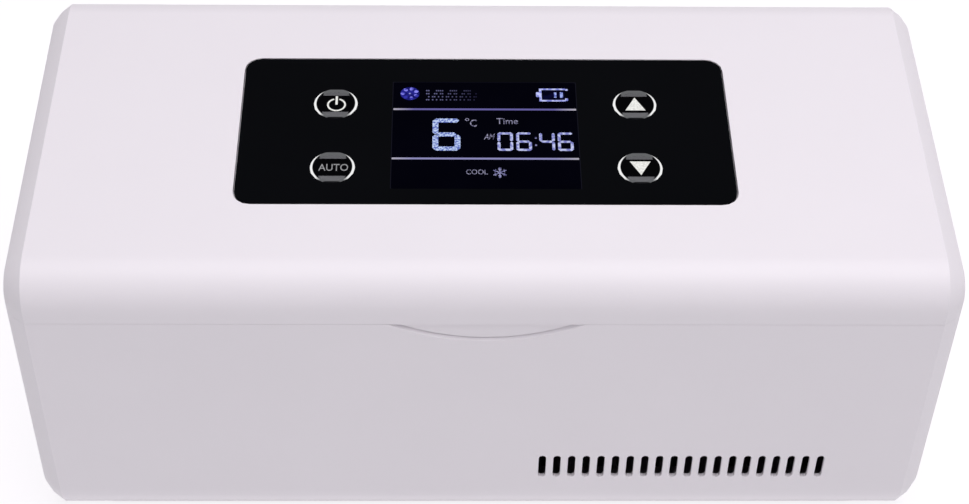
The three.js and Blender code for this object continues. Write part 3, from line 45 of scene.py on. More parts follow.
# ---------------------------------------------------------------- camera
# The photograph is taken from the front and above, a little to one side, from half a metre away.
# Its place, lens and small turns come from a fit to the case's outline.
aim = Vector((0, 0, 41.9)) * MM
camera_away = 487.99 * MM
camera_shift = Vector((0.596, 1.083)) * MM
camera_elevation = math.radians(46.543)
camera_yaw = math.radians(1.5424)
camera_roll = math.radians(-1.2339)
across = Vector((1, 0, 0))
upward = Vector((0, math.sin(camera_elevation), math.cos(camera_elevation)))
forward = Vector((0, math.cos(camera_elevation), -math.sin(camera_elevation)))
level_turn = Matrix.Rotation(-camera_yaw, 3, "Z")
stand = across * camera_shift.x + upward * camera_shift.y - forward * camera_away
picture_right = across * math.cos(camera_roll) - upward * math.sin(camera_roll)
picture_up = across * math.sin(camera_roll) + upward * math.cos(camera_roll)
axes = Matrix((level_turn @ picture_right, level_turn @ picture_up, level_turn @ -forward))

bpy.ops.object.select_all(action="DESELECT")
bpy.ops.object.camera_add()
camera = bpy.context.object
camera.name = "camera"
camera.matrix_world = Matrix.Translation(aim + level_turn @ stand) @ axes.transposed().to_4x4()
camera.data.sensor_fit = "HORIZONTAL"
camera.data.sensor_width = 36
camera.data.lens = 77.48
camera.data.clip_start = 0.01
bpy.context.scene.camera = camera

# ---------------------------------------------------------------- studio
# A white table that runs out of the picture, one large soft light overhead and a weaker one in front,
# under an even pale sky. The table glows to stay white, except in a rectangle under the case, where the
# glow is left out as a painted shadow and the dark table there also takes the case's real shade.
# The plain colour transform keeps the white of the plastic as it is.


def linear(code):
    """An sRGB hex colour as linear red, green, blue and alpha."""
    shares = [int(code[i:i + 2], 16) / 255 for i in (1, 3, 5)]
    return tuple(c / 12.92 if c <= 0.04045 else ((c + 0.055) / 1.055) ** 2.4 for c in shares) + (1.0,)


def add_node(tree, kind, inputs=None, **settings):
    """Adds a node, makes its settings, and fills or links its inputs."""
    made = tree.nodes.new(kind)
    for name, value in settings.items():
        setattr(made, name, value)
    for name, value in (inputs or {}).items():
        if isinstance(value, bpy.types.NodeSocket):
            tree.links.new(value, made.inputs[name])
        else:
            made.inputs[name].default_value = value
    return made


def new_finish(name):
    """An empty material and its node tree, which its own section fills."""
    finish = bpy.data.materials.new(name)
    finish.use_nodes = True
    finish.node_tree.nodes.clear()
    return finish, finish.node_tree


bpy.context.scene.view_settings.view_transform = "Standard"
world = bpy.data.worlds.new("sky")
world.use_nodes = True
world.node_tree.nodes["Background"].inputs["Color"].default_value = linear("#f7f5fa")
world.node_tree.nodes["Background"].inputs["Strength"].default_value = 0.12
bpy.context.scene.world = world

lights = [
    ("light_above", (0.12, -0.1, 1.1), (0, 0, 0), 0.9, 0.9, 11.6, "#fffcff"),
    ("light_front", (0.4, -1.4, 0.9), (0, 0, 0.04), 1.2, 0.8, 0.5, "#fff6fc"),
]
for light_name, place, towards, width, height, power, tint in lights:
    bpy.ops.object.light_add(type="AREA", location=place)
    lamp = bpy.context.object
    lamp.name = light_name
    lamp.data.shape = "RECTANGLE"
    lamp.data.size = width
    lamp.data.size_y = height
    lamp.data.energy = power
    lamp.data.color = linear(tint)[:3]
    lamp.rotation_euler = (Vector(towards) - Vector(place)).to_track_quat("-Z", "Y").to_euler()

bpy.ops.mesh.primitive_plane_add(size=8, location=(0, 0, -0.05 * MM))
table = bpy.context.object
table.name = "table"
paint, tree = new_finish("white_table")
grain = add_node(tree, "ShaderNodeTexNoise", {"Scale": 40.0, "Detail": 3.0})
shade = add_node(tree, "ShaderNodeMix", {"Factor": grain.outputs["Fac"], "A": linear("#7b797c"),
                                         "B": linear("#7e7c7f")}, data_type="RGBA")
# The painted shadow is a rectangle, given by half its length and width, that grows all round to where it ends
painted_shadow_core, painted_shadow_end, glow_full, glow_strength = (85.5 * MM, 33 * MM, 0), 6.0 * MM, 6.7 * MM, 0.872
where = add_node(tree, "ShaderNodeTexCoord").outputs["Object"]
folded = add_node(tree, "ShaderNodeVectorMath", {0: where}, operation="ABSOLUTE").outputs["Vector"]
past = add_node(tree, "ShaderNodeVectorMath", {0: folded, 1: painted_shadow_core}, operation="SUBTRACT")
past = add_node(tree, "ShaderNodeVectorMath", {0: past.outputs["Vector"], 1: (0, 0, 0)}, operation="MAXIMUM")
away = add_node(tree, "ShaderNodeVectorMath", {0: past.outputs["Vector"]}, operation="LENGTH").outputs["Value"]
glow = add_node(tree, "ShaderNodeMapRange", {"Value": away, "From Min": painted_shadow_end, "From Max": glow_full,
                                             "To Max": glow_strength})
surface = add_node(tree, "ShaderNodeBsdfPrincipled",
                   {"Base Color": shade.outputs["Result"], "Roughness": 0.6, "Specular IOR Level": 0.2,
                    "Emission Color": linear("#fdfbfe"), "Emission Strength": glow.outputs["Result"]})
add_node(tree, "ShaderNodeOutputMaterial", {"Surface": surface.outputs["BSDF"]})
table.data.materials.append(paint)

# ---------------------------------------------------------------- case shells
# Base and lid are injection moulded in white ABS with a fine spark-eroded mould texture, which makes
# the gloss soft. Every edge of a moulding is slightly round. The case is painted greyer towards its
# bottom, a painted shade under its lower edge, and the lid closes to a fine line on the base.
weld, hair = 2e-6, 1e-7  # in metres: corners this close are one, and lengths this close are equal


def turned(part, x, y, cuts):
    """Divides polygons about an upright axis, given in mm, and moves the new corners out to the circle."""
    mesh = part.data
    least_bend, most_bend = math.radians(0.5), math.radians(40)
    bpy.ops.object.mode_set(mode="EDIT")
    bpy.ops.mesh.select_mode(type="EDGE")
    bpy.ops.mesh.select_all(action="DESELECT")
    bpy.ops.object.mode_set(mode="OBJECT")
    radii = set()
    for side in mesh.edges:
        first, last = (mesh.vertices[index].co - Vector((x, y, 0)) * MM for index in side.vertices)
        reach = math.hypot(first.x, first.y)
        bend = math.atan2(last.y, last.x) - math.atan2(first.y, first.x)
        bend = abs((bend + math.pi) % math.tau - math.pi)
        if abs(math.hypot(last.x, last.y) - reach) < weld and least_bend < bend < most_bend:
            side.select = True
            radii.add(reach)
    old = len(mesh.vertices)
    bpy.ops.object.mode_set(mode="EDIT")
    bpy.ops.mesh.subdivide(number_cuts=cuts)
    bpy.ops.mesh.select_mode(type="VERT")
    bpy.ops.object.mode_set(mode="OBJECT")
    for corner in list(mesh.vertices)[old:]:
        from_axis = Vector((corner.co.x - x * MM, corner.co.y - y * MM))
        grow = min(radius for radius in radii if radius > from_axis.length - hair) / from_axis.length
        corner.co.x = x * MM + from_axis.x * grow
        corner.co.y = y * MM + from_axis.y * grow


def finished(node, body, finish, edge=0.0, smooth=32, axis=None, cuts=3, crisp=None):
    """A copy of a CAD piece with joined facets, smooth curves and edges softened by so many mm.

    Edges that start in the crisp box, given by its low and high corner in mm, stay sharp.
    """
    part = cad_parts[node].copy()
    part.data = part.data.copy()
    for key in list(part.keys()):
        del part[key]
    part.name = node + "_finished"
    part.parent = None
    bpy.context.scene.collection.objects.link(part)
    bpy.ops.object.select_all(action="DESELECT")
    part.select_set(True)
    bpy.context.view_layer.objects.active = part
    bpy.ops.mesh.customdata_custom_splitnormals_clear()
    bpy.ops.object.mode_set(mode="EDIT")
    bpy.ops.mesh.select_all(action="SELECT")
    bpy.ops.mesh.remove_doubles(threshold=weld)
    bpy.ops.mesh.dissolve_limited(angle_limit=math.radians(0.4))
    bpy.ops.object.mode_set(mode="OBJECT")
    if axis:
        turned(part, axis[0], axis[1], cuts)
    bpy.ops.object.shade_smooth_by_angle(angle=math.radians(smooth))
    if edge:
        bevel = part.modifiers.new("edges", "BEVEL")
        bevel.width = edge * MM
        bevel.segments = 2
        bevel.limit_method = "WEIGHT"
        bpy.ops.object.mode_set(mode="EDIT")
        bpy.ops.mesh.select_mode(type="EDGE")
        bpy.ops.mesh.select_all(action="DESELECT")
        bpy.ops.mesh.edges_select_sharp(sharpness=math.radians(smooth))
        bpy.ops.object.mode_set(mode="OBJECT")
        weights = part.data.attributes.new("bevel_weight_edge", "FLOAT", "EDGE")
        for side in part.data.edges:
            start = part.data.vertices[side.vertices[0]].co / MM
            inside = crisp and all(crisp[0][way] < start[way] < crisp[1][way] for way in range(3))
            weights.data[side.index].value = float(side.select and not inside)
        bpy.ops.object.mode_set(mode="EDIT")
        bpy.ops.mesh.select_mode(type="VERT")
        bpy.ops.object.mode_set(mode="OBJECT")
        bevel.miter_outer = "MITER_ARC"
        bpy.ops.object.modifier_apply(modifier="edges")
        bpy.ops.object.shade_smooth_by_angle(angle=math.radians(50))
    weigh = part.modifiers.new("flats", "WEIGHTED_NORMAL")
    weigh.keep_sharp = True
    weigh.weight = 80
    bpy.ops.object.modifier_apply(modifier="flats")
    part.data.materials.clear()
    part.data.materials.append(finish)
    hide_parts(node)
    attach(part, body)
    return part


def moulded_plastic(name, low, high, roughness, grit, depth):
    """Moulded plastic: a mottled colour between two, a texture with that grit and depth in mm."""
    finish, tree = new_finish(name)
    where = add_node(tree, "ShaderNodeTexCoord").outputs["Object"]
    cloud = add_node(tree, "ShaderNodeTexNoise", {"Vector": where, "Scale": 1 / (24 * MM), "Detail": 3.0})
    spark = add_node(tree, "ShaderNodeTexNoise", {"Vector": where, "Scale": 1 / (grit * MM), "Detail": 2.0,
                                                  "Roughness": 0.6})
    colour = add_node(tree, "ShaderNodeMix", {"Factor": cloud.outputs["Fac"], "A": linear(low),
                                              "B": linear(high)}, data_type="RGBA")
    gloss = add_node(tree, "ShaderNodeMapRange", {"Value": spark.outputs["Fac"], "To Min": roughness - 0.05,
                                                  "To Max": roughness + 0.05})
    relief = add_node(tree, "ShaderNodeBump", {"Height": spark.outputs["Fac"], "Distance": depth * MM,
                                               "Strength": 0.6})
    surface = add_node(tree, "ShaderNodeBsdfPrincipled",
                       {"Base Color": colour.outputs["Result"], "Roughness": gloss.outputs["Result"],
                        "IOR": 1.53, "Normal": relief.outputs["Normal"]})
    add_node(tree, "ShaderNodeOutputMaterial", {"Surface": surface.outputs["BSDF"]})
    return finish


white_abs = moulded_plastic("white_abs", "#eeeaef", "#f1edf2", 0.5, 0.45, 0.012)
tree = white_abs.node_tree
surface = tree.nodes["Principled BSDF"]
surface.inputs["Specular IOR Level"].default_value = 0.35
# Painted shade: the colour turns grey from 10.5 mm down to 3 mm above the table and stays grey below
where = add_node(tree, "ShaderNodeTexCoord").outputs["Object"]
height = add_node(tree, "ShaderNodeSeparateXYZ", {"Vector": where}).outputs["Z"]
unshaded_share = add_node(tree, "ShaderNodeMapRange", {"Value": height, "From Min": 3 * MM, "From Max": 10.5 * MM})
unshaded_colour = surface.inputs["Base Color"].links[0].from_socket
painted_lower_shade = add_node(tree, "ShaderNodeMix", {"Factor": unshaded_share.outputs["Result"], "A": linear("#aeaaae"),
                                        "B": unshaded_colour}, data_type="RGBA")
tree.links.new(painted_lower_shade.outputs["Result"], surface.inputs["Base Color"])
# The edges round the rear slots stay sharp, because rounding them makes faces that cross themselves
rear_slots = ((-90, 44, 8), (90, 48, 40))
base_shell = finished("base_shell", "base", white_abs, edge=0.12, crisp=rear_slots)
lid_shell = finished("lid_shell", "lid", white_abs, edge=0.12)

# The rounding at the seam is flattened by half. The lid's edge and tab come down to a fine line, but
# less and less towards the rear, so that the hinge keeps its room.
seam_low, seam_high, seam_line = 71.6, 71.9, 0.05
rounding, kept_share, slack = 0.13, 0.5, 0.01
fade_end, fade_length = 38, 10
for corner in base_shell.data.vertices:
    if seam_low - rounding < corner.co.z / MM < seam_low + slack:
        corner.co.z = (seam_low - (seam_low - corner.co.z / MM) * kept_share) * MM
for corner in lid_shell.data.vertices:
    low_enough = corner.co.z / MM < seam_high + rounding
    fade_share = min(max((fade_end - corner.co.y / MM) / fade_length, 0), 1)
    closing = fade_share * (seam_high - seam_low - seam_line)
    if low_enough and corner.co.z / MM > seam_high - slack:
        corner.co.z = (seam_high - closing + (corner.co.z / MM - seam_high) * kept_share) * MM
    elif low_enough and corner.co.y < 0:
        corner.co.z -= closing * MM

# ---------------------------------------------------------------- panel window
# A plate of black acrylic, set flush in the lid and polished, with a thin ground edge. The display
# shines through it from behind.
black_acrylic, tree = new_finish("black_acrylic")
where = add_node(tree, "ShaderNodeTexCoord").outputs["Object"]
haze = add_node(tree, "ShaderNodeTexNoise", {"Vector": where, "Scale": 1 / (30 * MM), "Detail": 4.0})
tone = add_node(tree, "ShaderNodeMix", {"Factor": haze.outputs["Fac"], "A": linear("#07080a"),
                                        "B": linear("#0a0b0e")}, data_type="RGBA")
polish = add_node(tree, "ShaderNodeMapRange", {"Value": haze.outputs["Fac"], "To Min": 0.1, "To Max": 0.16})
surface = add_node(tree, "ShaderNodeBsdfPrincipled",
                   {"Base Color": tone.outputs["Result"], "Roughness": polish.outputs["Result"], "IOR": 1.49,
                    "Specular IOR Level": 0.05})
add_node(tree, "ShaderNodeOutputMaterial", {"Surface": surface.outputs["BSDF"]})
finished("panel_window", "lid", black_acrylic, edge=0.2)

# ---------------------------------------------------------------- display
# A negative liquid crystal display: nearly black glass with a blue cast, and segments that let the
# white-blue lamp behind them through. The glass shows as a darker field in the panel.
ink = 0.02
field_left, field_right, field_front, field_rear = -20.2, 20.5, -18.9, 14.9


def strip(x0, x1, y0, y1, corner=0.0, lean=0.0):
    """A flat bar between these edges, its corners cut back, leaning by an angle."""
    bpy.ops.mesh.primitive_plane_add(size=1)
    bar = bpy.context.object
    bpy.ops.object.mode_set(mode="EDIT")
    bpy.ops.transform.resize(value=((x1 - x0) * MM, (y1 - y0) * MM, 1))
    if corner:
        bpy.ops.mesh.bevel(offset=corner * MM, offset_type="OFFSET", affect="VERTICES")
    if lean:
        bpy.ops.transform.rotate(value=lean, orient_axis="Z", center_override=(0, 0, 0))
    bpy.ops.transform.translate(value=((x0 + x1) / 2 * MM, (y0 + y1) / 2 * MM, 0))
    bpy.ops.object.mode_set(mode="OBJECT")
    return bar


def lettering(words, x0, x1, y0, y1, shear=0.0):
    """Plain words as flat letters that fill the room between these edges."""
    bpy.ops.object.text_add()
    letters = bpy.context.object
    letters.data.body = words
    letters.data.shear = shear
    letters.data.resolution_u = 3
    bpy.ops.object.convert(target="MESH")
    wide = [corner[0] for corner in letters.bound_box]
    tall = [corner[1] for corner in letters.bound_box]
    grow_x = (x1 - x0) * MM / (max(wide) - min(wide))
    grow_y = (y1 - y0) * MM / (max(tall) - min(tall))
    letters.scale = (grow_x, grow_y, 1)
    letters.location = (x0 * MM - min(wide) * grow_x, y0 * MM - min(tall) * grow_y, 0)
    bpy.ops.object.transform_apply()
    return letters


def printed(name, pieces, height, body, finish, raised=ink):
    """Joins flat pieces into one layer, which lies on a face at that height, and gives it its thickness."""
    bpy.ops.object.select_all(action="DESELECT")
    for piece in pieces:
        piece.select_set(True)
    bpy.context.view_layer.objects.active = pieces[0]
    if len(pieces) > 1:
        bpy.ops.object.join()
    layer = bpy.context.object
    layer.name = name
    layer.location.z = height * MM
    bpy.ops.object.transform_apply()
    for facet in layer.data.polygons:
        if facet.normal.z < 0:
            facet.flip()
    thicken = layer.modifiers.new("ink", "SOLIDIFY")
    thicken.thickness = raised * MM
    thicken.offset = 1
    bpy.ops.object.modifier_apply(modifier="ink")
    layer.data.materials.clear()
    layer.data.materials.append(finish)
    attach(layer, body)
    return layer


def backlit(tree, glow, strength=1.0):
    """Dark glass without a reflection of its own, which lets this light through."""
    surface = add_node(tree, "ShaderNodeBsdfPrincipled",
                       {"Base Color": linear("#020208"), "Roughness": 0.4, "Specular IOR Level": 0.0,
                        "Emission Color": glow.outputs["Result"], "Emission Strength": strength})
    add_node(tree, "ShaderNodeOutputMaterial", {"Surface": surface.outputs["BSDF"]})


def lit_segment(name, low, high, cell, strength=1.0):
    """Lamp light through a segment: its two colours mix in spots as large as a cell, in mm."""
    finish, tree = new_finish(name)
    where = add_node(tree, "ShaderNodeTexCoord").outputs["Object"]
    spots = add_node(tree, "ShaderNodeTexNoise", {"Vector": where, "Scale": 1 / (cell * MM), "Detail": 1.0})
    spread = add_node(tree, "ShaderNodeMapRange", {"Value": spots.outputs["Fac"], "From Min": 0.42,
                                                   "From Max": 0.58})
    glow = add_node(tree, "ShaderNodeMix", {"Factor": spread.outputs["Result"], "A": linear(low),
                                            "B": linear(high)}, data_type="RGBA")
    backlit(tree, glow, strength)
    return finish


def lit_line(name, middle, ends):
    """A backlit rule, whiter at its ends than in the middle of the display."""
    finish, tree = new_finish(name)
    where = add_node(tree, "ShaderNodeTexCoord").outputs["Object"]
    along = add_node(tree, "ShaderNodeSeparateXYZ", {"Vector": where}).outputs["X"]
    away = add_node(tree, "ShaderNodeMath", {0: along}, operation="ABSOLUTE").outputs["Value"]
    spread = add_node(tree, "ShaderNodeMapRange", {"Value": away, "From Min": 15.5 * MM, "From Max": 20 * MM})
    glow = add_node(tree, "ShaderNodeMix", {"Factor": spread.outputs["Result"], "A": linear(middle),
                                            "B": linear(ends)}, data_type="RGBA")
    backlit(tree, glow)
    return finish


panel_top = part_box("panel_window")[1].z / MM
field_glass, tree = new_finish("display_glass")
where = add_node(tree, "ShaderNodeTexCoord").outputs["Object"]
leak = add_node(tree, "ShaderNodeTexNoise", {"Vector": where, "Scale": 1 / (14 * MM), "Detail": 2.0})
glow = add_node(tree, "ShaderNodeMix", {"Factor": leak.outputs["Fac"], "A": linear("#000002"),
                                        "B": linear("#020209")}, data_type="RGBA")
surface = add_node(tree, "ShaderNodeBsdfPrincipled",
                   {"Base Color": linear("#010104"), "Roughness": 0.12, "IOR": 1.52, "Specular IOR Level": 0.02,
                    "Emission Color": glow.outputs["Result"], "Emission Strength": 1.0})
add_node(tree, "ShaderNodeOutputMaterial", {"Surface": surface.outputs["BSDF"]})
printed("display_field", [strip(field_left, field_right, field_front, field_rear, corner=0.3)], panel_top,
        "lid", field_glass, raised=0.01)

rim = 0.18
rim_finish = lit_line("display_rim", "#0b0b12", "#15151c")
printed("display_rim", [
    strip(field_left - rim, field_right + rim, field_rear, field_rear + rim),
    strip(field_left - rim, field_left, field_front, field_rear),
    strip(field_right, field_right + rim, field_front, field_rear),
], panel_top, "lid", rim_finish)

print_gap = 0.012  # the signs lie this far above the panel, clear of the field
face = panel_top + print_gap
printed("display_line_rear", [strip(-20.1, 20.4, 5.8, 6.34, corner=0.08)], face, "lid",
        lit_line("line_rear", "#66609f", "#aeaab8"))
printed("display_line_front", [strip(-20.2, 20.4, -9.9, -9.36, corner=0.08)], face, "lid",
        lit_line("line_front", "#8c8aba", "#aaa7b6"))


def figure(shown, left, front, width, height, stroke, gap):
    """A seven-segment figure; its segments a to g run clockwise from the far side, g in the middle."""
    right, rear, middle = left + width, front + height, front + height / 2
    cut = stroke * 0.4
    segments = {
        "a": (left + gap, right - gap, rear - stroke, rear),
        "b": (right - stroke, right, middle + gap / 2, rear - gap),
        "c": (right - stroke, right, front + gap, middle - gap / 2),
        "d": (left + gap, right - gap, front, front + stroke),
        "e": (left, left + stroke, front + gap, middle - gap / 2),
        "f": (left, left + stroke, middle + gap / 2, rear - gap),
        "g": (left + stroke * 0.7, right - stroke * 0.7, middle - stroke / 2, middle + stroke / 2),
    }
    return [strip(*segments[name], corner=cut) for name in shown]


large_light = lit_segment("large_segment", "#5c6cb8", "#c4d6f8", 0.5)
printed("display_temperature", figure("acdefg", -11.4, -7.15, 6.1, 10.2, 1.28, 0.3), face, "lid",
        large_light)
small_light = lit_segment("small_segment", "#7c80c4", "#c4caf0", 0.8)
clock = []
for shown, left in (("abcdef", 2.8), ("acdefg", 6.9), ("bcfg", 11.95), ("acdefg", 16.0)):
    clock += figure(shown, left, -7.15, 3.4, 5.8, 0.64, 0.2)
printed("display_time", clock, face, "lid", small_light)
dim_light = lit_segment("dim_segment", "#4a4a72", "#8a88b4", 0.7)
printed("display_colon", [strip(11.0, 11.4, -3.3, -2.8), strip(11.0, 11.4, -5.6, -5.1)], face, "lid",
        dim_light)

letter_light = lit_segment("letter_segment", "#565470", "#a4a2bc", 0.35)
degree = lettering("°", -4.25, -3.35, 2.3, 3.2)
celsius = lettering("C", -3.15, -1.7, 0.5, 2.7)
printed("display_unit", [degree, celsius], face, "lid", letter_light)
printed("display_time_word", [lettering("Time", 2.7, 7.4, 1.35, 3.2)], face, "lid",
        letter_light)
printed("display_half_day", [lettering("AM", -0.15, 2.25, -3.6, -1.8, shear=0.3)], face, "lid",
        letter_light)
printed("display_mode_word", [lettering("COOL", -4.1, 0.55, -14.5, -13.0)], face, "lid",
        letter_light)

# Snowflake: three bars that cross, each with two short twigs near its ends
flake_x, flake_y, flake_reach, flake_line = 3.17, -13.95, 1.6, 0.11
twig_place, twig_reach, twig_line = 1.1, 0.42, 0.09
flake = []
for turn in (90, 150, 210):
    lean = math.radians(turn)
    flake.append(strip(flake_x - flake_reach, flake_x + flake_reach, flake_y - flake_line,
                       flake_y + flake_line, lean=lean))
    for out in (-twig_place, twig_place):
        at_x, at_y = flake_x + out * math.cos(lean), flake_y + out * math.sin(lean)
        for twig in (-50, 50):
            flake.append(strip(at_x - twig_reach, at_x + twig_reach, at_y - twig_line, at_y + twig_line,
                               lean=lean + math.radians(twig)))
printed("display_snowflake", flake, face, "lid",
        lit_segment("snow_segment", "#5a5888", "#a0a0c8", 0.5))

# Fan sign: seven petals round a hub, on a dim blue disc
fan_x, fan_y, blades = -16.5, 11.2, 7


def sign_disc(x, y, radius, wide=1.0, deep=1.0, out=0.0, lean=0.0):
    """A flat round, stretched, moved out from x, y and turned about it."""
    bpy.ops.mesh.primitive_circle_add(vertices=16, fill_type="NGON", radius=radius * MM)
    made = bpy.context.object
    bpy.ops.object.mode_set(mode="EDIT")
    bpy.ops.transform.resize(value=(wide, deep, 1))
    bpy.ops.transform.translate(value=(out * MM, 0, 0))
    bpy.ops.transform.rotate(value=lean, orient_axis="Z", center_override=(0, 0, 0))
    bpy.ops.transform.translate(value=(x * MM, y * MM, 0))
    bpy.ops.object.mode_set(mode="OBJECT")
    return made


printed("display_fan_glow", [sign_disc(fan_x, fan_y, 2.15)], face, "lid",
        lit_segment("fan_glow", "#141460", "#26268c", 1.2), raised=0.01)
petals = []
for blade in range(blades):
    lean = math.radians(180 + blade * 360 / blades)
    petals.append(sign_disc(fan_x, fan_y, 0.45, wide=1.15, deep=0.95, out=1.55, lean=lean))
printed("display_fan_sign", petals, face, "lid",
        lit_segment("fan_segment", "#3434a4", "#8c8af4", 1.3))
printed("display_fan_hub", [sign_disc(fan_x, fan_y, 0.24)], face, "lid", small_light)

# Rows of small dim dots beside it, which spell nothing and fade towards the right
dot_field, tree = new_finish("fading_dots")
where = add_node(tree, "ShaderNodeTexCoord").outputs["Object"]
along = add_node(tree, "ShaderNodeSeparateXYZ", {"Vector": where}).outputs["X"]
fade = add_node(tree, "ShaderNodeMapRange", {"Value": along, "From Min": -13 * MM, "From Max": -1 * MM})
glow = add_node(tree, "ShaderNodeMix", {"Factor": fade.outputs["Result"], "A": linear("#6a6a92"),
                                        "B": linear("#100c24")}, data_type="RGBA")
backlit(tree, glow)
dots_left, dots_front, column_pitch, row_pitch, dot_width, dot_height = -12.9, 9.0, 0.44, 1.0, 0.3, 0.36
dots = []
for row in range(5):
    for column in range(26):
        if (3 * column + 5 * row + column * row) % 7 < 4:
            x, y = dots_left + column * column_pitch, dots_front + row * row_pitch
            dots.append(strip(x, x + dot_width, y, y + dot_height))
printed("display_dots", dots, face, "lid", dot_field)

# Battery sign: an outline that is open at its right end, with a contact on its left and two bars
battery_light = lit_segment("battery_segment", "#7f86d6", "#c6ccff", 0.9)
printed("display_battery_sign", [
    strip(11.65, 12.5, 10.2, 11.8, corner=0.15),
    strip(12.35, 12.9, 8.75, 13.0),
    strip(12.9, 18.2, 12.52, 13.0),
    strip(12.9, 18.2, 8.75, 9.23),
    strip(18.2, 18.75, 12.3, 12.85, corner=0.1),
    strip(18.1, 18.75, 8.95, 9.75, corner=0.1),
], face, "lid", battery_light)
printed("display_battery_glow", [strip(13.2, 18.0, 9.5, 12.2, corner=0.2)], face, "lid",
        lit_segment("battery_glow", "#030314", "#07082a", 1.2), raised=0.01)
printed("display_battery_bars", [strip(15.65, 16.2, 10.0, 11.7), strip(17.0, 17.65, 10.0, 11.8)], face, "lid",
        lit_segment("bar_segment", "#4a55a8", "#a4b4f4", 0.8))

# ---------------------------------------------------------------- keys
# Each key is a black cap in a ring that glows with no lamp behind it: white crescents at its two sides
# and grey at its front and rear are a painted highlight that stands for the reflections of a polished
# ring. The flats at the cap's front and rear are satin grey. The signs are white, and the one word is grey.
cap_black = moulded_plastic("cap_black_abs", "#020203", "#040406", 0.3, 0.6, 0.004)
cap_black.node_tree.nodes["Principled BSDF"].inputs["Specular IOR Level"].default_value = 0.04
flat_grey = moulded_plastic("cap_satin_grey", "#58595b", "#696a6d", 0.42, 0.5, 0.006)
flat_grey.node_tree.nodes["Principled BSDF"].inputs["Specular IOR Level"].default_value = 0.2

# Half widths in mm: the dark oval inside the crescents, where the crescents fade in from the middle,
# and how far the grey ends reach sideways and outwards
oval_x, oval_y = 4.31, 4.7
crescent_start, crescent_full = 2.5, 3.5
grey_full_x, grey_end_x, grey_start_y, grey_full_y = 2.7, 2.95, 4.5, 4.35
# Painted highlight: the ring's glow, white at the sides and grey at front and rear, stands for reflections
ring_painted_highlight, tree = new_finish("ring_painted_highlight")
place = add_node(tree, "ShaderNodeAttribute", attribute_name="from_middle").outputs["Vector"]
oval = add_node(tree, "ShaderNodeVectorMath", {0: place, 1: (1 / oval_x, 1 / oval_y, 0)},
                operation="MULTIPLY")
rim = add_node(tree, "ShaderNodeVectorMath", {0: oval.outputs["Vector"]}, operation="LENGTH").outputs["Value"]
folded = add_node(tree, "ShaderNodeVectorMath", {0: place}, operation="ABSOLUTE").outputs["Vector"]
across = add_node(tree, "ShaderNodeSeparateXYZ", {"Vector": folded})
crescent = add_node(tree, "ShaderNodeMapRange", {"Value": rim, "From Min": 0.99, "From Max": 1.01})
fading = add_node(tree, "ShaderNodeMapRange", {"Value": across.outputs["X"], "From Min": crescent_start,
                                               "From Max": crescent_full,
                                               "To Max": crescent.outputs["Result"]})
narrow = add_node(tree, "ShaderNodeMapRange", {"Value": across.outputs["X"], "From Min": grey_end_x,
                                               "From Max": grey_full_x})
grey = add_node(tree, "ShaderNodeMapRange", {"Value": across.outputs["Y"], "From Min": grey_start_y,
                                             "From Max": grey_full_y, "To Max": narrow.outputs["Result"]})
ends = add_node(tree, "ShaderNodeMix", {"Factor": grey.outputs["Result"], "A": linear("#08080a"),
                                        "B": linear("#626365")}, data_type="RGBA")
glow = add_node(tree, "ShaderNodeMix", {"Factor": fading.outputs["Result"], "A": ends.outputs["Result"],
                                        "B": linear("#f4f4f4")}, data_type="RGBA")
surface = add_node(tree, "ShaderNodeBsdfPrincipled",
                   {"Base Color": linear("#101013"), "Roughness": 0.2, "IOR": 1.49, "Specular IOR Level": 0.15,
                    "Emission Color": glow.outputs["Result"], "Emission Strength": 1.0})
add_node(tree, "ShaderNodeOutputMaterial", {"Surface": surface.outputs["BSDF"]})

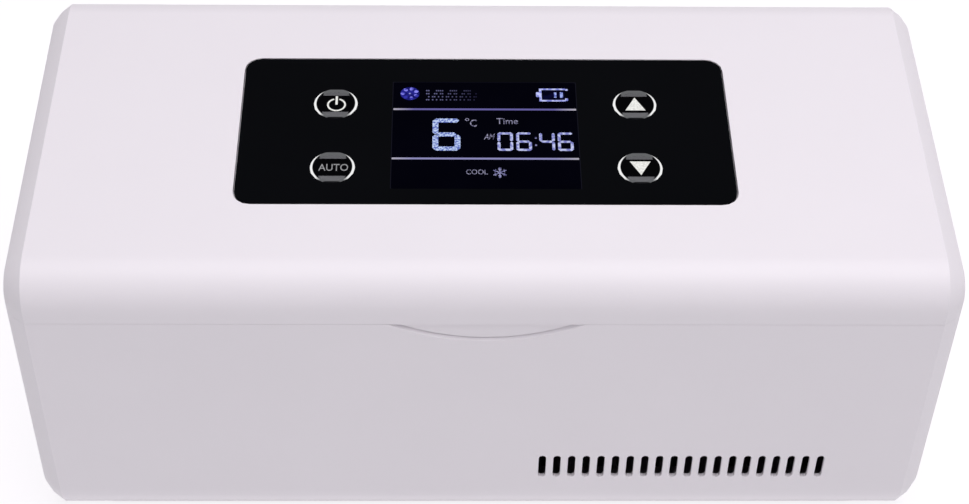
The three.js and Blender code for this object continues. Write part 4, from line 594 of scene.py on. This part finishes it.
sign_white = lit_segment("sign_white", "#dededa", "#f2f2ee", 0.5)
sign_grey = lit_segment("sign_grey", "#8e8e90", "#a6a6a8", 0.4)
flats_from = 82 * MM  # the caps' slanted flats lie above this height
arc_outer, arc_inner, half_opening = 2.1, 1.7, math.radians(22)
arrow_half_width, arrow_height = 2.25, 4.2
start_half_width, start_height = 0.866, 1.5  # of a triangle primitive of radius 1
for key_name in ("power", "auto", "up", "down"):
    body_name = "key_" + key_name
    ring_low, ring_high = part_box("key_ring_" + key_name)
    key_x, key_y = (ring_low.x + ring_high.x) / 2 / MM, (ring_low.y + ring_high.y) / 2 / MM
    cap = finished("key_cap_" + key_name, body_name, cap_black, edge=0.06, axis=(key_x, key_y))
    cap.data.materials.append(flat_grey)
    for facet in cap.data.polygons:
        if facet.normal.z > 0.95 and abs(facet.normal.y) > 0.1 and facet.center.z > flats_from:
            facet.material_index = 1
    ring = finished("key_ring_" + key_name, "lid", ring_painted_highlight, axis=(key_x, key_y))
    from_middle = ring.data.attributes.new("from_middle", "FLOAT_VECTOR", "POINT")
    for point in ring.data.vertices:
        from_middle.data[point.index].vector = (point.co.x / MM - key_x, point.co.y / MM - key_y, 0)
    if key_name == "power":
        bpy.ops.mesh.primitive_circle_add(vertices=40, radius=arc_outer * MM, fill_type="NOTHING")
        arc = bpy.context.object
        bpy.ops.object.mode_set(mode="EDIT")
        bpy.ops.mesh.extrude_region()
        bpy.ops.transform.resize(value=(arc_inner / arc_outer, arc_inner / arc_outer, 1))
        bpy.ops.mesh.select_all(action="DESELECT")
        bpy.ops.object.mode_set(mode="OBJECT")
        for facet in arc.data.polygons:
            from_top = abs(math.atan2(facet.center.x, facet.center.y))
            facet.select = facet.center.y > 0 and from_top < half_opening
        bpy.ops.object.mode_set(mode="EDIT")
        bpy.ops.mesh.select_mode(type="FACE")
        bpy.ops.mesh.delete(type="FACE")
        bpy.ops.mesh.select_all(action="SELECT")
        bpy.ops.transform.translate(value=((key_x + 0.15) * MM, (key_y - 0.35) * MM, 0))
        bpy.ops.object.mode_set(mode="OBJECT")
        sign = [arc, strip(key_x - 0.1, key_x + 0.4, key_y - 0.3, key_y + 2.45)]
    elif key_name == "auto":
        sign = [lettering("AUTO", key_x - 3.0, key_x + 3.4, key_y - 1.1, key_y + 1.0)]
    else:
        bpy.ops.mesh.primitive_circle_add(vertices=3, radius=1 * MM, fill_type="NGON")
        arrow = bpy.context.object
        bpy.ops.object.mode_set(mode="EDIT")
        way, shift = (1, -0.03) if key_name == "up" else (-1, -0.33)
        bpy.ops.transform.resize(value=(arrow_half_width / start_half_width,
                                        arrow_height / start_height * way, 1))
        bpy.ops.transform.translate(value=((key_x + 0.1) * MM, (key_y + shift) * MM, 0))
        bpy.ops.object.mode_set(mode="OBJECT")
        sign = [arrow]
    printed("key_sign_" + key_name, sign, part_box("key_cap_" + key_name)[1].z / MM, body_name,
            sign_grey if key_name == "auto" else sign_white)

# ---------------------------------------------------------------- bottom cover, deck and liner
# The bottom cover is moulded like the shells. The deck round the tank's mouth and the liner under the
# lid are white ABS from a matt mould, which hides the marks of fingers and cold drops. The deck's edges
# stay sharp, because rounding them makes faces that cross themselves.
# The white ABS's painted shade near the table makes the whole bottom cover grey
finished("bottom_cover", "base", white_abs, edge=0.15)
matt_abs = moulded_plastic("matt_abs", "#e4e1e4", "#eae7ea", 0.55, 0.8, 0.02)
finished("deck_frame", "base", matt_abs)
finished("lid_liner", "lid", matt_abs, edge=0.2)

# ---------------------------------------------------------------- tank and cold block
# The tank is aluminium sheet, drawn in a press and brushed along its length, so its highlights
# stretch sideways. The block under it is milled from bar, with short marks of the cutter.


def bare_metal(name, low, high, roughness, mark_length, mark_width, along="X"):
    """Bare metal, its colour between two, with marks so long and wide in mm that lie along one axis."""
    finish, tree = new_finish(name)
    where = add_node(tree, "ShaderNodeTexCoord").outputs["Object"]
    long_scale, fine_scale = 1 / (mark_length * MM), 1 / (mark_width * MM)
    scale = [long_scale if axis == along else fine_scale for axis in "XYZ"]
    stretched = add_node(tree, "ShaderNodeMapping", {"Vector": where, "Scale": scale}).outputs["Vector"]
    marks = add_node(tree, "ShaderNodeTexNoise", {"Vector": stretched, "Scale": 1.0, "Detail": 3.0})
    cloud = add_node(tree, "ShaderNodeTexNoise", {"Vector": where, "Scale": 1 / (30 * MM), "Detail": 2.0})
    colour = add_node(tree, "ShaderNodeMix", {"Factor": cloud.outputs["Fac"], "A": linear(low),
                                              "B": linear(high)}, data_type="RGBA")
    gloss = add_node(tree, "ShaderNodeMapRange", {"Value": marks.outputs["Fac"], "To Min": roughness - 0.07,
                                                  "To Max": roughness + 0.07})
    relief = add_node(tree, "ShaderNodeBump", {"Height": marks.outputs["Fac"], "Distance": 0.01 * MM,
                                               "Strength": 0.4})
    surface = add_node(tree, "ShaderNodeBsdfPrincipled",
                       {"Base Color": colour.outputs["Result"], "Metallic": 1.0,
                        "Roughness": gloss.outputs["Result"], "Normal": relief.outputs["Normal"]})
    add_node(tree, "ShaderNodeOutputMaterial", {"Surface": surface.outputs["BSDF"]})
    return finish


def coated(finish, *nodes):
    """Gives this finish to CAD pieces that keep their own mesh."""
    for node in nodes:
        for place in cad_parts[node].material_slots:
            place.material = finish


brushed = bare_metal("brushed_aluminium", "#c3c6ca", "#d3d5d8", 0.36, 45, 0.35)
finished("cold_tank", "base", brushed, edge=0.2, smooth=40)
coated(bare_metal("milled_aluminium", "#b9bcc0", "#c9cbce", 0.4, 6, 0.5, along="Y"), "cold_block")

# ---------------------------------------------------------------- insulation
# Closed-cell polyethylene foam, cut from dark grey block to fill the room round the tank and behind
# the liner. Its cut cells are fine pits, painted darker towards their middles as painted shade.
foam_cell = 1.1
polyethylene_foam, tree = new_finish("polyethylene_foam")
where = add_node(tree, "ShaderNodeTexCoord").outputs["Object"]
cells = add_node(tree, "ShaderNodeTexVoronoi", {"Vector": where, "Scale": 1 / (foam_cell * MM)})
pit_shade_tone = add_node(tree, "ShaderNodeMix", {"Factor": cells.outputs["Distance"], "A": linear("#424347"),
                                         "B": linear("#56575c")}, data_type="RGBA")
pits = add_node(tree, "ShaderNodeBump", {"Height": cells.outputs["Distance"], "Distance": 0.2 * MM,
                                         "Strength": 0.7})
rough = add_node(tree, "ShaderNodeMapRange", {"Value": cells.outputs["Distance"], "To Min": 0.85,
                                              "To Max": 0.97})
surface = add_node(tree, "ShaderNodeBsdfPrincipled",
                   {"Base Color": pit_shade_tone.outputs["Result"], "Roughness": rough.outputs["Result"], "IOR": 1.3,
                    "Normal": pits.outputs["Normal"]})
add_node(tree, "ShaderNodeOutputMaterial", {"Surface": surface.outputs["BSDF"]})
coated(polyethylene_foam, "tank_insulation", "lid_insulation")

# ---------------------------------------------------------------- thermoelectric module and heat sink
# The module is two plates of white alumina with dark rows of semiconductor pellets between them. The
# sink below it is extruded aluminium, anodised black, with faint draw marks along its fins.
module_low, module_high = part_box("peltier_module")
plate_thickness = 0.9
alumina, tree = new_finish("alumina_and_pellets")
where = add_node(tree, "ShaderNodeTexCoord").outputs["Object"]
speckle = add_node(tree, "ShaderNodeTexNoise", {"Vector": where, "Scale": 1 / (0.8 * MM), "Detail": 3.0})
ceramic = add_node(tree, "ShaderNodeMix", {"Factor": speckle.outputs["Fac"], "A": linear("#e6e2d9"),
                                           "B": linear("#f2efe8")}, data_type="RGBA")
rows = add_node(tree, "ShaderNodeTexChecker", {"Vector": where, "Color1": linear("#4c4c50"),
                                               "Color2": linear("#17171a"), "Scale": 1 / (1.3 * MM)})
height = add_node(tree, "ShaderNodeSeparateXYZ", {"Vector": where}).outputs["Z"]
module_middle = (module_low.z + module_high.z) / 2
from_middle = add_node(tree, "ShaderNodeMath", {0: height, 1: module_middle}, operation="SUBTRACT")
away = add_node(tree, "ShaderNodeMath", {0: from_middle.outputs["Value"]}, operation="ABSOLUTE")
half_core = (module_high.z - module_low.z) / 2 - plate_thickness * MM
between = add_node(tree, "ShaderNodeMath", {0: away.outputs["Value"], 1: half_core}, operation="LESS_THAN")
shown = add_node(tree, "ShaderNodeMix", {"Factor": between.outputs["Value"], "A": ceramic.outputs["Result"],
                                         "B": rows.outputs["Color"]}, data_type="RGBA")
surface = add_node(tree, "ShaderNodeBsdfPrincipled",
                   {"Base Color": shown.outputs["Result"], "Roughness": speckle.outputs["Fac"], "IOR": 1.7})
add_node(tree, "ShaderNodeOutputMaterial", {"Surface": surface.outputs["BSDF"]})
coated(alumina, "peltier_module")
coated(bare_metal("black_anodised_aluminium", "#2a2b2e", "#36383c", 0.5, 25, 0.4, along="Y"), "heat_sink")

# ---------------------------------------------------------------- fan, socket and cell holder
# Moulded in black glass-filled plastic with a matt, slightly grainy face. The socket's middle pin is
# nickel-plated brass, the only bright spot in its dark bore. Its edges stay sharp like the deck's.
black_pbt = moulded_plastic("black_pbt", "#141517", "#1c1d20", 0.5, 0.7, 0.02)
finished("fan_frame", "base", black_pbt, edge=0.15)
finished("fan_rotor", "fan", black_pbt)
coated(black_pbt, "battery_holder")

socket_low, socket_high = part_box("dc_socket")
socket_axis = (-(socket_low.x + socket_high.x) / 2, 0, -(socket_low.z + socket_high.z) / 2)
pin_reach = 1.1
socket_plastic = moulded_plastic("black_nylon_and_nickel_pin", "#121315", "#191a1c", 0.42, 0.6, 0.01)
tree = socket_plastic.node_tree
surface = tree.nodes["Principled BSDF"]
where = add_node(tree, "ShaderNodeTexCoord").outputs["Object"]
across = add_node(tree, "ShaderNodeMapping", {"Vector": where, "Scale": (1, 0, 1), "Location": socket_axis})
away = add_node(tree, "ShaderNodeVectorMath", {0: across.outputs["Vector"]}, operation="LENGTH")
on_pin = add_node(tree, "ShaderNodeMath", {0: away.outputs["Value"], 1: pin_reach * MM}, operation="LESS_THAN")
shown = add_node(tree, "ShaderNodeMix", {"Factor": on_pin.outputs["Value"],
                                         "A": surface.inputs["Base Color"].links[0].from_socket,
                                         "B": linear("#c9c5b8")}, data_type="RGBA")
tree.links.new(shown.outputs["Result"], surface.inputs["Base Color"])
tree.links.new(on_pin.outputs["Value"], surface.inputs["Metallic"])
finished("dc_socket", "base", socket_plastic)

# ---------------------------------------------------------------- boards
# Glass-fibre laminate with green solder resist over copper tracks, which show as slightly lighter
# lines. The parts that stand on it are dark moulded plastic with the maker's fields left plain.


def circuit_laminate(name, top):
    """Green resist over tracks up to a height in mm, and dark parts above it."""
    finish, tree = new_finish(name)
    where = add_node(tree, "ShaderNodeTexCoord").outputs["Object"]
    tracks = add_node(tree, "ShaderNodeTexBrick", {"Vector": where, "Color1": linear("#1b5233"),
                                                   "Color2": linear("#205b3a"), "Mortar": linear("#2f7a50"),
                                                   "Scale": 1 / (3 * MM), "Mortar Size": 0.06})
    grit = add_node(tree, "ShaderNodeTexNoise", {"Vector": where, "Scale": 1 / (0.7 * MM), "Detail": 2.0})
    casing = add_node(tree, "ShaderNodeMix", {"Factor": grit.outputs["Fac"], "A": linear("#131416"),
                                              "B": linear("#1e1f22")}, data_type="RGBA")
    height = add_node(tree, "ShaderNodeSeparateXYZ", {"Vector": where}).outputs["Z"]
    above = add_node(tree, "ShaderNodeMath", {0: height, 1: top * MM}, operation="GREATER_THAN")
    shown = add_node(tree, "ShaderNodeMix", {"Factor": above.outputs["Value"], "A": tracks.outputs["Color"],
                                             "B": casing.outputs["Result"]}, data_type="RGBA")
    gloss = add_node(tree, "ShaderNodeMapRange", {"Value": grit.outputs["Fac"], "To Min": 0.3, "To Max": 0.5})
    surface = add_node(tree, "ShaderNodeBsdfPrincipled",
                       {"Base Color": shown.outputs["Result"], "Roughness": gloss.outputs["Result"],
                        "IOR": 1.55})
    add_node(tree, "ShaderNodeOutputMaterial", {"Surface": surface.outputs["BSDF"]})
    return finish


for board, thickness in (("main_board", 1.6), ("display_board", 1.2)):
    coated(circuit_laminate(board + "_laminate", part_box(board)[0].z / MM + thickness + 0.05), board)

# ---------------------------------------------------------------- cells and leads
# The cells wear a blue shrink sleeve of PVC that leaves the steel of their ends bare. The module's
# leads are stranded copper in smooth, slightly waxy PVC, one red and one black.
cell_low, cell_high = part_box("battery_cell_front")
sleeve_inset = 1.6
shrink_sleeve, tree = new_finish("pvc_shrink_sleeve")
where = add_node(tree, "ShaderNodeTexCoord").outputs["Object"]
ripple = add_node(tree, "ShaderNodeTexNoise", {"Vector": where, "Scale": 1 / (5 * MM), "Detail": 2.0})
sleeve = add_node(tree, "ShaderNodeMix", {"Factor": ripple.outputs["Fac"], "A": linear("#2866a4"),
                                          "B": linear("#3475b8")}, data_type="RGBA")
along = add_node(tree, "ShaderNodeSeparateXYZ", {"Vector": where}).outputs["X"]
cell_middle = (cell_low.x + cell_high.x) / 2
from_middle = add_node(tree, "ShaderNodeMath", {0: along, 1: cell_middle}, operation="SUBTRACT")
away = add_node(tree, "ShaderNodeMath", {0: from_middle.outputs["Value"]}, operation="ABSOLUTE")
half_sleeve = (cell_high.x - cell_low.x) / 2 - sleeve_inset * MM
bare = add_node(tree, "ShaderNodeMath", {0: away.outputs["Value"], 1: half_sleeve}, operation="GREATER_THAN")
shown = add_node(tree, "ShaderNodeMix", {"Factor": bare.outputs["Value"], "A": sleeve.outputs["Result"],
                                         "B": linear("#c2c4c6")}, data_type="RGBA")
gloss = add_node(tree, "ShaderNodeMapRange", {"Value": ripple.outputs["Fac"], "To Min": 0.28, "To Max": 0.42})
surface = add_node(tree, "ShaderNodeBsdfPrincipled",
                   {"Base Color": shown.outputs["Result"], "Roughness": gloss.outputs["Result"],
                    "Metallic": bare.outputs["Value"]})
add_node(tree, "ShaderNodeOutputMaterial", {"Surface": surface.outputs["BSDF"]})
finished("battery_cell_front", "base", shrink_sleeve)
finished("battery_cell_rear", "base", shrink_sleeve)
for lead, dark_tone, light_tone in (("red", "#a11c18", "#b02622"), ("black", "#121214", "#1b1b1d")):
    pvc = moulded_plastic(lead + "_pvc", dark_tone, light_tone, 0.38, 2.0, 0.01)
    finished("peltier_lead_" + lead, "base", pvc, smooth=65)

# ---------------------------------------------------------------- display module and seal
# The display module is dark glass on a tray of moulded plastic. The seal is a ring of translucent
# grey silicone rubber pressed into the liner's groove, soft and nearly without gloss.
coated(moulded_plastic("dark_display_glass", "#030310", "#070716", 0.15, 4.0, 0.002), "lcd_module")
silicone = moulded_plastic("silicone_rubber", "#c3c4ca", "#cfd0d5", 0.62, 1.5, 0.02)
finished("lid_gasket", "lid", silicone, edge=0.15)

# ---------------------------------------------------------------- feet
# Four pads of dark rubber, glued into round recesses. They are moulded with a rounded rim and a fine
# grain that keeps the case from sliding.
foot_rubber = moulded_plastic("black_rubber", "#26262a", "#303034", 0.82, 0.5, 0.06)
for place in ("front_left", "front_right", "rear_left", "rear_right"):
    finished("foot_" + place, "base", foot_rubber, edge=0.3)

# ---------------------------------------------------------------- magnets, pins and sensor
# The magnets are sintered and nickel plated, so they mirror softly. The hinge pins are drawn steel
# rod, and the sensor's sleeve is drawn stainless steel.
nickel_plate = bare_metal("nickel_plate", "#c6c4bd", "#d2d0ca", 0.22, 0.9, 0.6)
for side in ("left", "right"):
    finished("deck_magnet_" + side, "base", nickel_plate, edge=0.12)
    finished("lid_magnet_" + side, "lid", nickel_plate, edge=0.12)
coated(bare_metal("drawn_steel", "#b2b4b7", "#c4c6c8", 0.3, 8, 0.3), "hinge_pin_left", "hinge_pin_right",
       "temperature_sensor")

# ---------------------------------------------------------------- screws
# Twelve tapping screws of zinc-plated steel. The head is stamped with a low dome and a cross recess
# with sloped walls, and the thread is rolled, so its ridges are round.
head_radius, head_height, root_radius, screw_length = 2.1, 0.8, 0.74, 6.0
thread_radius, thread_pitch, thread_start, tip_length = 0.95, 0.62, 0.3, 1.1
outline = [(0.0, head_height), (1.25, head_height), (1.8, 0.64), (head_radius, 0.3), (head_radius, 0.0),
           (root_radius, 0.0)]
depth = thread_start
while depth < screw_length - tip_length:
    outline += [(root_radius, -depth), (thread_radius, -depth - thread_pitch / 2)]
    depth += thread_pitch
outline += [(root_radius, -depth), (0.35, -screw_length + 0.15), (0.0, -screw_length)]

bpy.ops.mesh.primitive_plane_add(size=1)
pattern_screw = bpy.context.object
bpy.ops.object.mode_set(mode="EDIT")
bpy.ops.mesh.select_mode(type="VERT")
bpy.ops.mesh.merge(type="CENTER")
bpy.ops.transform.translate(value=(0, 0, outline[0][1] * MM))
for (near, upper), (far, lower) in zip(outline, outline[1:]):
    step = ((far - near) * MM, 0, (lower - upper) * MM)
    bpy.ops.mesh.extrude_region_move(TRANSFORM_OT_translate={"value": step})
bpy.ops.mesh.select_all(action="SELECT")
bpy.ops.mesh.spin(steps=24, angle=math.tau, center=(0, 0, 0), axis=(0, 0, 1))
bpy.ops.mesh.select_all(action="SELECT")
bpy.ops.mesh.remove_doubles(threshold=1e-6)
bpy.ops.mesh.normals_make_consistent(inside=False)
bpy.ops.object.mode_set(mode="OBJECT")
recess_length, recess_width, recess_slope, recess_depth = 2.3, 0.6, 0.6, 0.55
wedge_height = 1.0
for length, width in ((recess_length, recess_width), (recess_width, recess_length)):
    bpy.ops.mesh.primitive_cube_add(size=1)
    wedge = bpy.context.object
    for corner in wedge.data.vertices:
        corner.select = corner.co.z < 0
    bpy.ops.object.mode_set(mode="EDIT")
    bpy.ops.transform.resize(value=(recess_slope, recess_slope, 1), center_override=(0, 0, 0))
    bpy.ops.mesh.select_all(action="SELECT")
    bpy.ops.transform.resize(value=(length * MM, width * MM, wedge_height * MM), center_override=(0, 0, 0))
    bpy.ops.transform.translate(value=(0, 0, (head_height - recess_depth + wedge_height / 2) * MM))
    bpy.ops.object.mode_set(mode="OBJECT")
    stamp = pattern_screw.modifiers.new("recess", "BOOLEAN")
    stamp.object = wedge
    stamp.operation = "DIFFERENCE"
    bpy.ops.object.select_all(action="DESELECT")
    bpy.context.view_layer.objects.active = pattern_screw
    bpy.ops.object.modifier_apply(modifier="recess")
    bpy.data.objects.remove(wedge)
pattern_screw.select_set(True)
bpy.ops.object.shade_smooth_by_angle(angle=math.radians(35))
zinc_steel = bare_metal("zinc_plated_steel", "#b3b6ba", "#c6c8cb", 0.3, 0.8, 0.5)
pattern_screw.data.materials.clear()
pattern_screw.data.materials.append(zinc_steel)

screw_groups = (("cover_screw_", "base", True), ("deck_screw_", "base", False), ("liner_screw_", "lid", True))
for group, body, points_up in screw_groups:
    for number, place in enumerate(("front_left", "front_right", "rear_left", "rear_right")):
        low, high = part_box(group + place)
        made = pattern_screw.copy()
        made.data = pattern_screw.data.copy()
        made.name = group + place + "_threaded"
        bpy.context.scene.collection.objects.link(made)
        seat = low.z + head_height * MM if points_up else high.z - head_height * MM
        made.location = ((low.x + high.x) / 2, (low.y + high.y) / 2, seat)
        made.rotation_euler = (math.pi if points_up else 0, 0, math.radians(17 + 31 * number))
        bpy.ops.object.select_all(action="DESELECT")
        made.select_set(True)
        bpy.context.view_layer.objects.active = made
        bpy.ops.object.transform_apply()
        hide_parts(group + place)
        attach(made, body)
bpy.data.objects.remove(pattern_screw)
